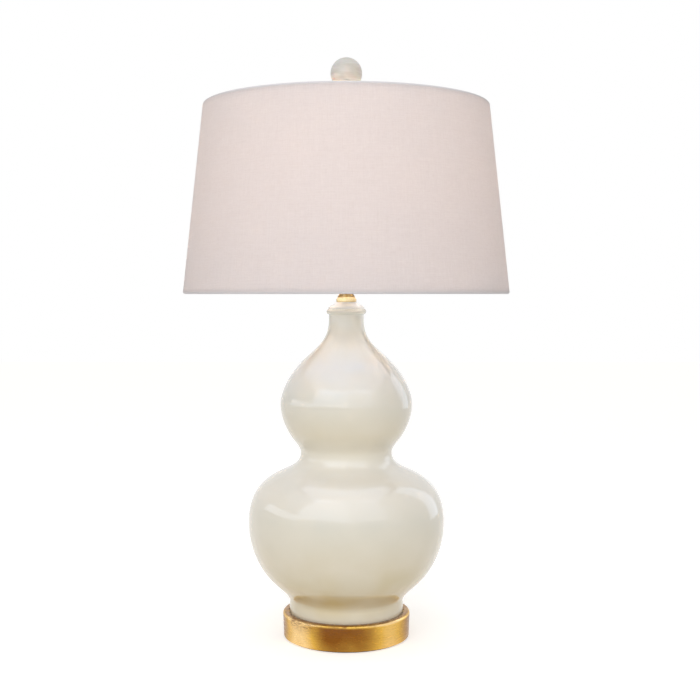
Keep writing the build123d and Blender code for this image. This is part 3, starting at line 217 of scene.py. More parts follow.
def wire_tree():
    """Sweeps a round wire along a path."""
    tree, given = new_tree(
        "Bent wire",
        path=("Geometry", None),
        radius=("Float", 0.002),
        sides=("Int", 20),
        finish=("Material", None),
    )
    line = node(tree, "GeometryNodeMeshToCurve", {"Mesh": given["Path"]})
    inputs = {"Resolution": given["Sides"], "Radius": given["Radius"]}
    ring = node(tree, "GeometryNodeCurvePrimitiveCircle", inputs)
    inputs = {"Curve": line, "Profile Curve": ring, "Fill Caps": True}
    return close_tree(tree, node(tree, "GeometryNodeCurveToMesh", inputs), given["Finish"])


# ---- Making pieces ------------------------------------------------------------------------------
def new_object(name, mesh):
    """Links a mesh into the scene as an object at the origin."""
    made = bpy.data.objects.new(name, mesh)
    bpy.context.scene.collection.objects.link(made)
    return made


def line_object(name, points):
    """A mesh of points joined in a row, in the order they are given."""
    mesh = bpy.data.meshes.new(name)
    mesh.from_pydata(points, [(i, i + 1) for i in range(len(points) - 1)], [])
    return new_object(name, mesh)


def shape_object(name, shape, finish=None):
    """An object of a bmesh, which is freed."""
    mesh = bpy.data.meshes.new(name)
    shape.to_mesh(mesh)
    shape.free()
    if finish:
        mesh.materials.append(finish)
    return new_object(name, mesh)


@contextmanager
def reshaping(piece):
    """A piece's mesh as a bmesh, which is written back."""
    shape = bmesh.new()
    shape.from_mesh(piece.data)
    yield shape
    shape.to_mesh(piece.data)
    shape.free()


def apply_modifiers(piece):
    """Turns a piece into the plain mesh that its modifiers give."""
    graph = bpy.context.evaluated_depsgraph_get()
    mesh = bpy.data.meshes.new_from_object(piece.evaluated_get(graph))
    piece.modifiers.clear()
    piece.data = mesh
    mesh.name = piece.name
    return piece


TREES = {}


def run_tree(piece, build, **inputs):
    """Runs a Geometry Nodes tree, built the first time, on a piece and keeps the plain mesh."""
    if build not in TREES:
        TREES[build] = build()
    modifier = piece.modifiers.new("Shape", "NODES")
    modifier.node_group = TREES[build]
    values = {spoken(key): value for key, value in inputs.items() if value is not None}
    for socket in TREES[build].interface.items_tree:
        if socket.item_type == "SOCKET" and socket.name in values:
            modifier[socket.identifier] = values[socket.name]
    return apply_modifiers(piece)


def face_outwards(piece, edge=30):
    """Turns the faces outwards and marks edges sharper than a number of degrees."""
    with reshaping(piece) as shape:
        bmesh.ops.dissolve_degenerate(shape, edges=shape.edges, dist=1e-6)
        bmesh.ops.recalc_face_normals(shape, faces=shape.faces)
    piece.data.set_sharp_from_angle(angle=math.radians(edge))
    return piece


def ease_edges(piece, width, edge=35):
    """Rounds the sharp edges a little, as handling, plating and glaze do."""
    bevel = piece.modifiers.new("Eased edges", "BEVEL")
    bevel.width = width
    bevel.segments = 2
    bevel.limit_method = "ANGLE"
    bevel.angle_limit = math.radians(edge)
    bevel.use_clamp_overlap = True
    return face_outwards(apply_modifiers(piece), edge)


def cut(piece, *cutters):
    """Cuts shapes out of a piece and removes them."""
    for cutter in cutters:
        modifier = piece.modifiers.new("Cut", "BOOLEAN")
        modifier.operation = "DIFFERENCE"
        modifier.solver = "EXACT"
        modifier.object = cutter
        apply_modifiers(piece)
        bpy.data.objects.remove(cutter)
    return face_outwards(piece)


def block(low, high):
    """A box between two corners, for cutting."""
    shape = bmesh.new()
    bmesh.ops.create_cube(shape, size=1.0)
    for vertex in shape.verts:
        vertex.co = [b if side > 0 else a for a, b, side in zip(low, high, vertex.co)]
    return shape_object("cutter", shape)


def wire(name, points, radius, finish=None, sides=20, edge=50):
    """Bends a round wire along points."""
    piece = line_object(name, points)
    made = run_tree(piece, wire_tree, radius=radius, sides=sides, finish=finish)
    return face_outwards(made, edge)


def rod(start, end, radius, sides=48):
    """A round bar between two points, for cutting."""
    return wire("cutter", [start, end], radius, sides=sides, edge=30)


def section(shape, middle, angle):
    """Where the half plane at an angle about an upright axis crosses a mesh, as joined points."""
    out = Vector((math.cos(angle), math.sin(angle), 0))
    aside = Vector((-out.y, out.x, 0))
    places, joins = {}, {}
    for face in shape.faces:
        crossed = []
        for edge in face.edges:
            a, b = (vertex.co - middle for vertex in edge.verts)
            across_a, across_b = a.dot(aside), b.dot(aside)
            if (across_a > 0) == (across_b > 0):
                continue
            share = across_a / (across_a - across_b)
            if a.lerp(b, share).dot(out) < SAME_PLACE:
                continue
            flat_a, flat_b = (Vector((math.hypot(p.x, p.y), p.z)) for p in (a, b))
            places[edge.index] = flat_a.lerp(flat_b, share)
            crossed.append(edge.index)
        if len(crossed) == 2:
            for here, there in (crossed, crossed[::-1]):
                joins.setdefault(here, []).append(there)
    ends = [edge for edge, near in joins.items() if len(near) == 1]
    start = ends[0] if ends else next(iter(joins))
    chain, here, last = [start], start, None
    while True:
        ahead = [edge for edge in joins[here] if edge != last]
        if not ahead or ahead[0] == start:
            break
        last, here = here, ahead[0]
        chain.append(here)
    if len(chain) != len(joins):
        raise RuntimeError(f"the section has {len(joins)} points, but {len(chain)} join up")
    return [places[edge] for edge in (chain if ends else [*chain, start])]


def nearest_on_runs(starts, runs, spots):
    """The nearest place on each straight run to each spot, as a share of the run, and how far."""
    away = spots[:, None] - starts
    squares = np.maximum((runs * runs).sum(1), 1e-18)
    share = np.clip((away * runs).sum(2) / squares, 0, 1)
    return share, np.linalg.norm(away - share[..., None] * runs, axis=2)


def thin_out(points, sag):
    """The fewest of the points, in order, whose straight joins pass within sag of the others."""
    keep, spans = {0, len(points) - 1}, [(0, len(points) - 1)]
    while spans:
        first, last = spans.pop()
        if last - first < 2:
            continue
        start, run = points[first : first + 1], points[last] - points[first]
        gaps = nearest_on_runs(start, run[None], points[first + 1 : last])[1][:, 0]
        worst = int(gaps.argmax())
        if gaps[worst] > sag:
            middle = first + 1 + worst
            keep.add(middle)
            spans += [(first, middle), (middle, last)]
    return points[sorted(keep)]


def along_section(chain, spots):
    """How far along a section each (radius, height) spot lies, and the furthest that one is off."""
    starts = np.array([tuple(p) for p in chain])
    share, gaps = nearest_on_runs(starts[:-1], starts[1:] - starts[:-1], spots)
    nearest, rows = gaps.argmin(1), np.arange(len(spots))
    off = gaps[rows, nearest][spots[:, 0] > 0].max()
    return nearest + share[rows, nearest], off


def outline(name, sector=(-180, 180), about=(0.0, 0.0)):
    """The (radius, height) outline that a CAD node was turned from: its mesh's own exact points,
    in order along a section of it, between two angles where nothing is cut out of it."""
    shape = bmesh.new()
    shape.from_mesh(frame["nodes"][name].data)
    bmesh.ops.remove_doubles(shape, verts=shape.verts, dist=1e-7)
    shape.edges.index_update()
    middle = Vector((*about, 0))
    spots, turns = {}, set()
    for vertex in shape.verts:
        place = vertex.co - middle
        radius, turned = math.hypot(place.x, place.y), math.degrees(math.atan2(place.y, place.x))
        if radius < SAME_PLACE or sector[0] <= turned <= sector[1]:
            cell = (round(radius / SAME_PLACE), round(place.z / SAME_PLACE))
            spots[cell] = (radius if radius > SAME_PLACE else 0.0, place.z)
            turns.add(round(turned, 1))
    spots = np.array(list(spots.values()))
    # A section just beside a row of the mesh's points follows its curves best. Eight rows are
    # tried, from one that is a few degrees off the sector's middle.
    off_middle, beside, good, bad = 9, 0.11, 0.05 * MM, 0.3 * MM
    tries = sorted(turns, key=lambda turned: abs(turned - sum(sector) / 2 + off_middle))[1:9]
    best = None
    for turned in tries:
        chain = section(shape, middle, math.radians(turned + beside))
        order, off = along_section(chain, spots)
        if best is None or off < best[0]:
            best = off, order, (chain[0] - chain[-1]).length < SAME_PLACE
        if off < good:
            break
    shape.free()
    off, order, closed = best
    if off > bad:
        raise RuntimeError(f"{name} has points {off / MM:.2f} mm off its section")
    ordered = spots[np.argsort(order)]
    if closed:
        low = int(ordered[:, 1].argmin())
        ordered = np.vstack([ordered[low:], ordered[: low + 1]])
    points = [Vector(p) for p in thin_out(ordered, OUTLINE_SAG)]
    if closed:
        return points
    # A flat end has no point of its own on the axis.
    centres = [[Vector((0.0, end.y))] if end.x > 0 else [] for end in (points[0], points[-1])]
    return centres[0] + points + centres[1]


def fair(points, spacing, straights=None):
    """Puts smooth points between an outline's own ones, and keeps its corners and straights."""
    closed = (points[0] - points[-1]).length < SAME_PLACE
    runs = [b - a for a, b in zip(points, points[1:])]
    ways = [run.normalized() for run in runs]
    leave, arrive = list(ways), list(ways)
    for i in range(0 if closed else 1, len(runs)):
        before = i - 1
        if ways[before].angle(ways[i]) < CORNER:
            # On a curve the nearer neighbour tells more of its slope; a straight keeps its own.
            long, short = runs[before].length, runs[i].length
            if max(long, short) > 4 * min(long, short):
                shared = ways[before] if long > short else ways[i]
            else:
                shared = (ways[before] * short + ways[i] * long).normalized()
            arrive[before], leave[i] = shared, shared
    fine = []
    for i, run in enumerate(runs):
        straight = max(leave[i].angle(ways[i]), arrive[i].angle(ways[i])) < NO_TURN
        step = straights if straight else spacing
        pieces = max(1, math.ceil(run.length / step)) if step else 1
        for k in range(pieces):
            t = k / pieces
            pull = (t**3 - 2 * t**2 + t) * leave[i] + (t**3 - t**2) * arrive[i]
            fine.append(points[i] + (3 * t**2 - 2 * t**3) * run + pull * run.length)
    fine.append(points[-1])
    return fine


def turn(name, points, finish, steps=128, thread=None, **inputs):
    """Turns (radius, height) points into a piece on the lathe. A thread is given as its depth,
    its pitch, and the heights of its foot and head."""
    if thread:
        inputs |= zip(("thread_depth", "thread_pitch", "thread_foot", "thread_head"), thread)
    inputs |= {
        "steps_around": steps,
        "width": math.tau * max(p.x for p in points),
        "length": sum((b - a).length for a, b in zip(points, points[1:])),
        "finish": finish,
    }
    piece = line_object(name, [(p.x, 0, p.y) for p in points])
    return face_outwards(run_tree(piece, lathe_tree, **inputs))


def washer(inner, outer, low, high):
    """The closed (radius, height) outline of a flat ring."""
    corners = ((inner, low), (outer, low), (outer, high), (inner, high), (inner, low))
    return [Vector(corner) for corner in corners]


def retrace_part(name, part, finish, width):
    """Seats a CAD node's own flat-sided shape, with its triangles joined and its edges eased."""
    piece = new_object(name, frame["nodes"][part].data.copy())
    with reshaping(piece) as shape:
        bmesh.ops.remove_doubles(shape, verts=shape.verts, dist=1e-6)
        bmesh.ops.dissolve_limit(
            shape, angle_limit=math.radians(1), verts=shape.verts, edges=shape.edges
        )
        for face in shape.faces:
            face.smooth = True
            face.material_index = 0
    piece.data.materials.clear()
    piece.data.materials.append(finish)
    return seat(ease_edges(piece, width) if width else face_outwards(piece), part)


def merge(name, pieces):
    """Joins pieces of one finish into one."""
    shape = bmesh.new()
    for piece in pieces:
        shape.from_mesh(piece.data)
    for face in shape.faces:
        face.material_index = 0
    # A cut leaves an empty slot beside the piece's own.
    made = shape_object(name, shape, next(used for used in pieces[0].data.materials if used))
    for piece in pieces:
        bpy.data.objects.remove(piece)
    made.data.set_sharp_from_angle(angle=math.radians(35))
    return made


def seat(piece, part):
    """Puts a finished piece in its CAD node's place, on its body, and hides the node."""
    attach(piece, frame["nodes"][part]["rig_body"])
    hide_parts(part)
    return piece


def turn_part(name, part, finish, steps, spacing, straights=None, eased=0.0, **inputs):
    """Turns a CAD node's own outline and seats it. Its points are at most spacing apart on curves,
    and straights apart elsewhere if that is given. Its edges are eased by a width."""
    piece = turn(name, fair(outline(part), spacing, straights), finish, steps, **inputs)
    return seat(ease_edges(piece, eased) if eased else piece, part)


def dress(part, finish):
    """Gives a CAD node that stays its own finish."""
    mesh = frame["nodes"][part].data
    mesh.materials.clear()
    mesh.materials.append(finish)


# ---- Finishes -----------------------------------------------------------------------------------
FINISHES = {}


def finish(name, build=None, *values):
    """A material under its common name, made the first time it is asked for. Its shader is what
    build gives, or is in the table of stock finishes."""
    if name not in FINISHES:
        if build is None:
            build, *values = STOCK[name]
        FINISHES[name] = material = bpy.data.materials.new(name)
        material.use_nodes = True
        material.node_tree.nodes.clear()
        shader = build(material.node_tree, *values)
        node(material.node_tree, "ShaderNodeOutputMaterial", [shader])
    return FINISHES[name]


def blotches(tree, place, size, low, high, clear=0.0, full=1.0, **noise):
    """A value that goes from clear to full over blotches of a size, where their noise rises from
    low to high. The noise's other inputs can be given by name."""
    inputs = {"Vector": place, "Scale": 1 / size, "Detail": 3.0}
    inputs |= {spoken(key): value for key, value in noise.items()}
    return node(tree, RANGE, [node(tree, NOISE, inputs), low, high, clear, full])


def relief(tree, place, size, depth, under=None, **noise):
    """Bumps of a size and a depth, over other bumps where they are given. The noise's other inputs
    can be given by name."""
    inputs = {"Vector": place, "Scale": 1 / size, "Detail": 3.0}
    inputs |= {spoken(key): value for key, value in noise.items()}
    inputs = {"Strength": 1.0, "Distance": depth, "Height": node(tree, NOISE, inputs)}
    return node(tree, BUMP, inputs | ({"Normal": under} if under else {}))


def set_stops(ramp, tones):
    """Gives a colour ramp its colours, each under its place on it."""
    elements = ramp.node.color_ramp.elements
    while len(elements) < len(tones):
        elements.new(0.5)
    for element, (place, tone) in zip(elements, tones.items()):
        element.position = place
        element.color = linear(tone)
    return ramp


def ivory_glazed_porcelain(tree, settings):
    """Porcelain under a clear ivory glaze, fired: a pale body and a wet gloss. Its colour by height
    carries painted light: a cool painted reflection on the shoulder, painted shade under each
    belly, partly glaze pooled there, and a warm painted reflection of the gilt base above the foot."""
    place = node(tree, "ShaderNodeTexCoord", output="Object")
    height = node(tree, "ShaderNodeSeparateXYZ", [place], "Z")
    tones = {  # by height in metres
        0.030: "#D9D4C5",
        # A warm painted reflection of the gilt base, above the foot, partly glaze pooled there.
        0.0465: "#DDD0AC",
        0.060: "#D3BD88",
        0.086: "#D6CAA6",
        # Painted shade under the lower belly, partly pooled glaze.
        0.110: settings.glaze_pooled_and_shaded,
        0.162: "#DAD8CD",
        0.185: settings.glaze,
        0.215: "#E7E6E1",
        0.232: "#E5E0D2",
        # Painted shade under the upper belly, partly pooled glaze.
        0.262: settings.glaze_pooled_and_shaded,
        0.310: "#DADAD3",
        # A cool painted reflection on the shoulder.
        0.345: "#D9E1EA",
        0.385: "#EEF0E7",
    }
    top = settings.glaze_top
    ramp = node(tree, "ShaderNodeValToRGB", [node(tree, RANGE, [height, 0.0, top])])
    tint = set_stops(ramp, {level / top: tone for level, tone in tones.items()})
    # Clouds 60 mm across, where the dipped coat is thicker or thinner.
    clouds = blotches(tree, place, 60 * MM, 0.35, 0.65, full=0.5, detail=2.0)
    tint = node(tree, MIX, {0: clouds, 6: tint, 7: linear("#E3DED0")}, 2, data_type="RGBA")
    # Iron specks under half a millimetre, a few on each hand's breadth.
    inputs = {"Vector": place, "Scale": 55.0, "Randomness": 1.0}
    specks = node(tree, "ShaderNodeTexVoronoi", inputs)
    dots = node(tree, RANGE, [specks, 0.012, 0.018, 0.22, 0.0])
    tint = node(tree, MIX, {0: dots, 6: tint, 7: linear("#B39A74")}, 2, data_type="RGBA")
    # The glaze wavers by tenths of a millimetre over 30 mm and has a fine orange peel.
    swell = relief(tree, place, 28 * MM, 0.5 * MM, detail=2.0, roughness=0.35)
    peel = relief(tree, place, 3.5 * MM, 0.01 * MM, swell, detail=1.0)
    inputs = {
        "Base Color": tint,
        "Normal": peel,
        "Roughness": 0.5,
        "Specular IOR Level": 0.2,
        "Coat Weight": 1.0,
        "Coat Roughness": 0.03,
        "Coat IOR": 1.52,
        "Coat Normal": peel,
    }
    return node(tree, PRINCIPLED, inputs)


def ivory_enamel(tree):
    """Stoved enamel on the metal cap: the glaze's colour, a little greyer, with a softer gloss."""
    place = node(tree, "ShaderNodeTexCoord", output="Object")
    clouds = blotches(tree, place, 12 * MM, 0.3, 0.7, full=0.4)
    tints = {0: clouds, 6: linear("#F8FBFA"), 7: linear("#EFF1EC")}
    peel = relief(tree, place, 2.2 * MM, 0.012 * MM, detail=1.0)
    inputs = {
        "Base Color": node(tree, MIX, tints, 2, data_type="RGBA"),
        "Normal": peel,
        "Roughness": 0.3,
        "Coat Weight": 0.7,
        "Coat Roughness": 0.08,
        "Coat Normal": peel,
    }
    return node(tree, PRINCIPLED, inputs)


def gold_leaf(tree, settings):
    """Gold leaf laid by hand on red clay over turned wood, then toned with brown wax: crinkled
    leaf, and clay showing where it wore through. Its tone also carries painted light: painted
    reflections in four broad bright places round the side, a painted lighter left side, painted
    highlights low down and along the rounded edge, and painted shade, mottled like wax, on the flat
    top."""
    top = settings.top
    place = node(tree, "ShaderNodeTexCoord", output="Object")
    split = node(tree, "ShaderNodeSeparateXYZ", [place]).node.outputs
    height = split["Z"]
    turned = node(tree, MATH, [split["Y"], split["X"]], operation="ARCTAN2")
    # Painted reflections: the side is lit bright in four broad places, the least of them at +X, and
    # a painted light makes the left side (-X) brighter than the right.
    painted_reflection_lobes = node(tree, MATH, [turned, 4.0, 0.12], operation="MULTIPLY_ADD")
    painted_reflection_lobes = node(tree, MATH, [painted_reflection_lobes], operation="COSINE")
    painted_reflection_lobes = node(tree, MATH, [painted_reflection_lobes, -0.5, 0.5], operation="MULTIPLY_ADD")
    painted_reflection_lobes = node(tree, MATH, [painted_reflection_lobes, 2.1], operation="POWER")
    painted_left_light = node(tree, MATH, [turned], operation="COSINE")
    painted_left_light = node(tree, MATH, [painted_left_light, -0.30, 0.78], operation="MULTIPLY_ADD")
    looks = {"detail": 2.0, "roughness": 0.45, "distortion": 0.3}
    clouds = blotches(tree, place, 45 * MM, 0.0, 1.0, -0.175, 0.175, **looks)
    tone = node(tree, MATH, [painted_reflection_lobes, painted_left_light, clouds], operation="MULTIPLY_ADD")
    # Painted highlights: a lighter band low down, and a bright line along the rounded edge.
    foot = node(tree, RANGE, [height, 16 * MM, 2 * MM, 0.0, 0.16])
    edge = node(tree, RANGE, [height, top - 4.2 * MM, top - 2.2 * MM, 0.0, 0.48])
    for more in (foot, edge):
        tone = node(tree, MATH, [tone, more], operation="ADD")
    tones = {0.0: settings.leaf_deep_and_dark_reflection, 0.50: settings.leaf, 0.95: settings.leaf_highlight}
    tint = set_stops(node(tree, "ShaderNodeValToRGB", [tone]), tones)
    # Scuffs run round the base, as the cloth went: a millimetre high and ten long.
    level = node(tree, "ShaderNodeMapping", {"Vector": place, "Scale": (0.35, 0.35, 3.2)})
    worn = blotches(tree, level, 4.2 * MM, 0.54, 0.74, full=0.35, detail=6.0, roughness=0.68)
    # Painted shade, mottled like toning wax, lies on the flat top under the gourd's belly and thins
    # over the rounded edge.
    painted_top_shade = node(tree, RANGE, [height, top - 1.6 * MM, top - 0.2 * MM, 0.0, 0.92])
    mottle = blotches(tree, place, 4 * MM, 0.30, 0.62, 0.35, detail=5.0, roughness=0.65)
    painted_top_shade_mottled = node(tree, MATH, [painted_top_shade, mottle], operation="MULTIPLY")
    # Under the rounded edge, on two sides, the wax was left in scratched patches.
    sides = node(tree, MATH, [turned, 2.0, 3.9], operation="MULTIPLY_ADD")
    sides = node(tree, MATH, [sides], operation="COSINE")
    spread = node(tree, NOISE, {"Vector": place, "Scale": 1 / (20 * MM), "Detail": 2.0})
    spread = node(tree, MATH, [sides, 0.25, spread], operation="MULTIPLY_ADD")
    patch = node(tree, RANGE, [spread, 0.48, 0.68])
    band = node(tree, RANGE, [height, top - 17 * MM, top - 6 * MM])
    looks = {"detail": 7.0, "roughness": 0.78, "distortion": 0.5}
    wiped = blotches(tree, level, 2.4 * MM, 0.44, 0.58, full=0.8, **looks)
    for where in (patch, band):
        wiped = node(tree, MATH, [wiped, where], operation="MULTIPLY")
    for share, tone in ((worn, settings.leaf_deep_and_dark_reflection), (painted_top_shade_mottled, settings.wax), (wiped, settings.clay)):
        tint = node(tree, MIX, {0: share, 6: tint, 7: linear(tone)}, 2, data_type="RGBA")
    dull = node(tree, MATH, [worn, 0.5], operation="MULTIPLY")
    dull = node(tree, MATH, [dull, wiped], operation="MAXIMUM")
    rough = blotches(tree, level, 6 * MM, 0.3, 0.7, 0.18, 0.38, detail=4.0)
    # Crinkles in the leaf, and its overlaps, a few hundredths of a millimetre high.
    crinkle = relief(tree, place, 3 * MM, 0.1 * MM, detail=6.0, roughness=0.62)
    inputs = {
        "Base Color": tint,
        "Metallic": node(tree, RANGE, [dull, 0.0, 1.0, 1.0, 0.45]),
        "Roughness": node(tree, MATH, [dull, 0.25, rough], operation="MULTIPLY_ADD"),
        "Normal": relief(tree, place, 18 * MM, 0.25 * MM, crinkle, detail=1.0),
    }
    return node(tree, PRINCIPLED, inputs)


def lathed_brass(tree, bright, tarnish, roughness, ring_size):
    """Brass turned, spun or drawn, and lacquered: fine rings round it, and a slight tarnish."""
    place = node(tree, "ShaderNodeTexCoord", output="Object")
    tarnished = blotches(tree, place, 9 * MM, 0.42, 0.75, full=0.6)
    tints = {0: tarnished, 6: linear(bright), 7: linear(tarnish)}
    level = node(tree, "ShaderNodeMapping", {"Vector": place, "Scale": (0.02, 0.02, 1.0)})
    inputs = {"Vector": level, "Scale": 1 / ring_size, "Detail": 3.0, "Roughness": 0.7}
    rings = node(tree, NOISE, inputs)
    inputs = {
        "Base Color": node(tree, MIX, tints, 2, data_type="RGBA"),
        "Metallic": 1.0,
        "Roughness": node(tree, RANGE, [rings, 0.3, 0.7, roughness * 0.75, roughness * 1.3]),
        "Normal": node(tree, BUMP, {"Strength": 1.0, "Distance": 0.01 * MM, "Height": rings}),
    }
    return node(tree, PRINCIPLED, inputs)


def two_tone(tree, light, dark, roughness, grain, depth, metallic=0.0):
    """A finish of two close tones, with grain of a real size and depth."""
    place = node(tree, "ShaderNodeTexCoord", output="Object")
    inputs = {"Vector": place, "Scale": 1 / grain, "Detail": 4.0, "Roughness": 0.6}
    pattern = node(tree, NOISE, inputs)
    share = node(tree, RANGE, [pattern, 0.35, 0.65])
    tints = {0: share, 6: linear(light), 7: linear(dark)}
    inputs = {
        "Base Color": node(tree, MIX, tints, 2, data_type="RGBA"),
        "Metallic": metallic,
        "Roughness": node(tree, RANGE, [pattern, 0.3, 0.7, roughness * 0.85, roughness * 1.15]),
        "Normal": node(tree, BUMP, {"Strength": 1.0, "Distance": depth, "Height": pattern}),
    }
    return node(tree, PRINCIPLED, inputs)


# The stock finishes. Brass has its bright and tarnished colour, its roughness and the size of its
# rings. The others have their light and dark tone, roughness, the grain's size and depth, and
# how metallic they are.
STOCK = {
    # Solid brass turned, polished and lacquered: a soft shine. Its tool rings are finer on the real
    # piece, and are drawn at 0.8 mm to show.
    "Turned brass": (lathed_brass, "#D2BB8B", "#A88955", 0.28, 0.8 * MM),
    # Brass plate on drawn steel wire: a harder, paler shine.
    "Brass plated wire": (lathed_brass, "#D8BB7C", "#A07C3E", 0.22, 4 * MM),
    # Brass sheet, spun thin: a soft bright finish.
    "Spun brass shell": (lathed_brass, "#D9B772", "#9C763A", 0.24, 0.8 * MM),
    # Steel with bright zinc plate: a bright grey, faintly clouded.
    "Zinc plated steel": (two_tone, "#B9B7B0", "#94928C", 0.34, 6 * MM, 0.01 * MM, 1.0),
    # Nylon, injection moulded: an even brown satin.
    "Moulded brown nylon": (two_tone, "#3A2A1E", "#2E2118", 0.42, 2 * MM, 0.01 * MM),
    # Wool felt, pressed and cut: no gloss, and fibres that stand up.
    "Wool felt": (two_tone, "#4C4238", "#3A3129", 0.95, 1.6 * MM, 0.2 * MM),
    # Rubber, rolled to sheet: a dull dark grey.
    "Sheet rubber": (two_tone, "#3B3733", "#2E2B28", 0.8, 3 * MM, 0.03 * MM),
    # Fibre board, pressed: matt card brown.
    "Pressed fibre": (two_tone, "#8A6B48", "#745838", 0.85, 2.5 * MM, 0.04 * MM),
    # Phenolic, moulded: a dense dark gloss with a trace of brown.
    "Moulded phenolic": (two_tone, "#1E1A18", "#151211", 0.3, 4 * MM, 0.01 * MM),
    # Aluminium sheet with a thread rolled into it: pale and bright.
    "Rolled aluminium": (two_tone, "#C9C9C6", "#AFAFAC", 0.3, 3 * MM, 0.01 * MM, 1.0),
    # Black glass, pressed: near black and wet.
    "Black glass": (two_tone, "#17130F", "#100D0B", 0.15, 4 * MM, 0.01 * MM),
    # Solder on the bulb's tip: a dull, uneven grey.
    "Tinned contact": (two_tone, "#A9A7A2", "#8C8A86", 0.4, 1 * MM, 0.03 * MM, 1.0),
    # Lead glass, pressed round the bulb's wires: clear and smooth.
    "Clear stem glass": (two_tone, "#D9DEDC", "#CBD2D0", 0.1, 4 * MM, 0.01 * MM),
    # Steel wire with white enamel paint: a soft white.
    "White painted wire": (two_tone, "#E6E4DF", "#DAD7D0", 0.4, 3 * MM, 0.01 * MM),
}


def thin_sheet(tree, front, share, tint, **inputs):
    """Lets a share of the light through a thin sheet, in its own colour."""
    through = node(tree, "ShaderNodeBsdfTranslucent", {"Color": tint} | inputs)
    return node(tree, "ShaderNodeMixShader", [share, front, through])


def white_linen(tree, settings):
    """Plain-woven linen laminated to the drum: uneven threads both ways, with slubs, and a little
    light through it. Reads the cloth's own UV map, in metres."""
    cloth = node(tree, "ShaderNodeUVMap", uv_map="UVMap")

    def threads(size, scale):
        inputs = {"Vector": node(tree, "ShaderNodeMapping", {"Vector": cloth, "Scale": scale})}
        inputs |= {"Scale": 1 / size, "Detail": 2.0, "Roughness": 0.6}
        return node(tree, NOISE, inputs)

    # Threads are 0.5 mm apart on the real cloth. They are drawn 0.8 mm wide, to show, and their
    # slubs twice that.
    slubs = [threads(1.6 * MM, (0.04, 1.0, 1.0)), threads(1.8 * MM, (1.0, 0.04, 1.0))]
    fine = [threads(0.8 * MM, (0.10, 1.0, 1.0)), threads(0.8 * MM, (1.0, 0.10, 1.0))]
    slubs = node(tree, MATH, slubs, operation="ADD")
    slubs = node(tree, MATH, [slubs, 0.2], operation="MULTIPLY")
    fine = node(tree, MATH, fine, operation="ADD")
    weave = node(tree, MATH, [fine, 0.3, slubs], operation="MULTIPLY_ADD")
    share = node(tree, RANGE, [weave, 0.36, 0.64])
    tints = {0: share, 6: linear(settings.linen_dark), 7: linear(settings.linen)}
    tint = node(tree, MIX, tints, 2, data_type="RGBA")
    # The hems are doubled round their rings and let no light through; their grey-blue tint is
    # painted shade.
    low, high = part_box("shade_linen")
    place = node(tree, "ShaderNodeTexCoord", output="Object")
    height = node(tree, "ShaderNodeSeparateXYZ", [place], "Z")
    above = node(tree, RANGE, [height, high.z - 2.6 * MM, high.z - 1.6 * MM])
    below = node(tree, RANGE, [height, low.z + 2.6 * MM, low.z + 1.6 * MM])
    hem = node(tree, MATH, [above, below], operation="MAXIMUM")
    hem_painted_shade = node(tree, MATH, [hem, 0.6], operation="MULTIPLY")
    tint = node(tree, MIX, {0: hem_painted_shade, 6: tint, 7: linear("#C9C9D2")}, 2, data_type="RGBA")
    through = settings.let_through
    clear = node(tree, MATH, [hem, -through, through], operation="MULTIPLY_ADD")
    normal = node(tree, BUMP, {"Strength": 1.0, "Distance": 0.1 * MM, "Height": weave})
    inputs = {
        "Base Color": tint,
        "Normal": normal,
        "Roughness": 0.95,
        "Specular IOR Level": 0.05,
        "Sheen Weight": 0.15,
        "Sheen Roughness": 0.5,
    }
    return thin_sheet(tree, node(tree, PRINCIPLED, inputs), clear, tint, Normal=normal)


def white_styrene(tree, settings):
    """The drum's white styrene lining: smooth, matt, with a faint calendered streak."""
    place = node(tree, "ShaderNodeTexCoord", output="Object")
    tall = node(tree, "ShaderNodeMapping", {"Vector": place, "Scale": (1.0, 1.0, 0.1)})
    streak = node(tree, NOISE, {"Vector": tall, "Scale": 1 / (3 * MM), "Detail": 2.0})
    share = node(tree, RANGE, [streak, 0.3, 0.7])
    tints = {0: share, 6: linear("#F2EFE9"), 7: linear("#EBE7DF")}
    tint = node(tree, MIX, tints, 2, data_type="RGBA")
    normal = node(tree, BUMP, {"Strength": 1.0, "Distance": 0.01 * MM, "Height": streak})
    inputs = {"Base Color": tint, "Normal": normal, "Roughness": 0.45}
    return thin_sheet(tree, node(tree, PRINCIPLED, inputs), settings.lining_through, tint)


def frosted_bulb_glass(tree, settings):
    """Glass frosted inside, lit by its filament: an even warm white."""
    place = node(tree, "ShaderNodeTexCoord", output="Object")
    height = node(tree, "ShaderNodeSeparateXYZ", [place], "Z")
    # Brightest round the filament, and dim below it and in the neck, where the frost is thin.
    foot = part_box("bulb_glass")[0].z
    share = node(tree, RANGE, [height, foot + 14 * MM, foot + 40 * MM])
    glows = {0: share, 6: linear("#4A3322"), 7: linear(settings.glow)}
    inputs = {
        "Base Color": linear("#F4F1EA"),
        "Roughness": 0.28,
        "Emission Color": node(tree, MIX, glows, 2, data_type="RGBA"),
        "Emission Strength": settings.bulb_strength,
        "Normal": relief(tree, place, 0.8 * MM, 0.004 * MM, detail=2.0),
    }
    return node(tree, PRINCIPLED, inputs)


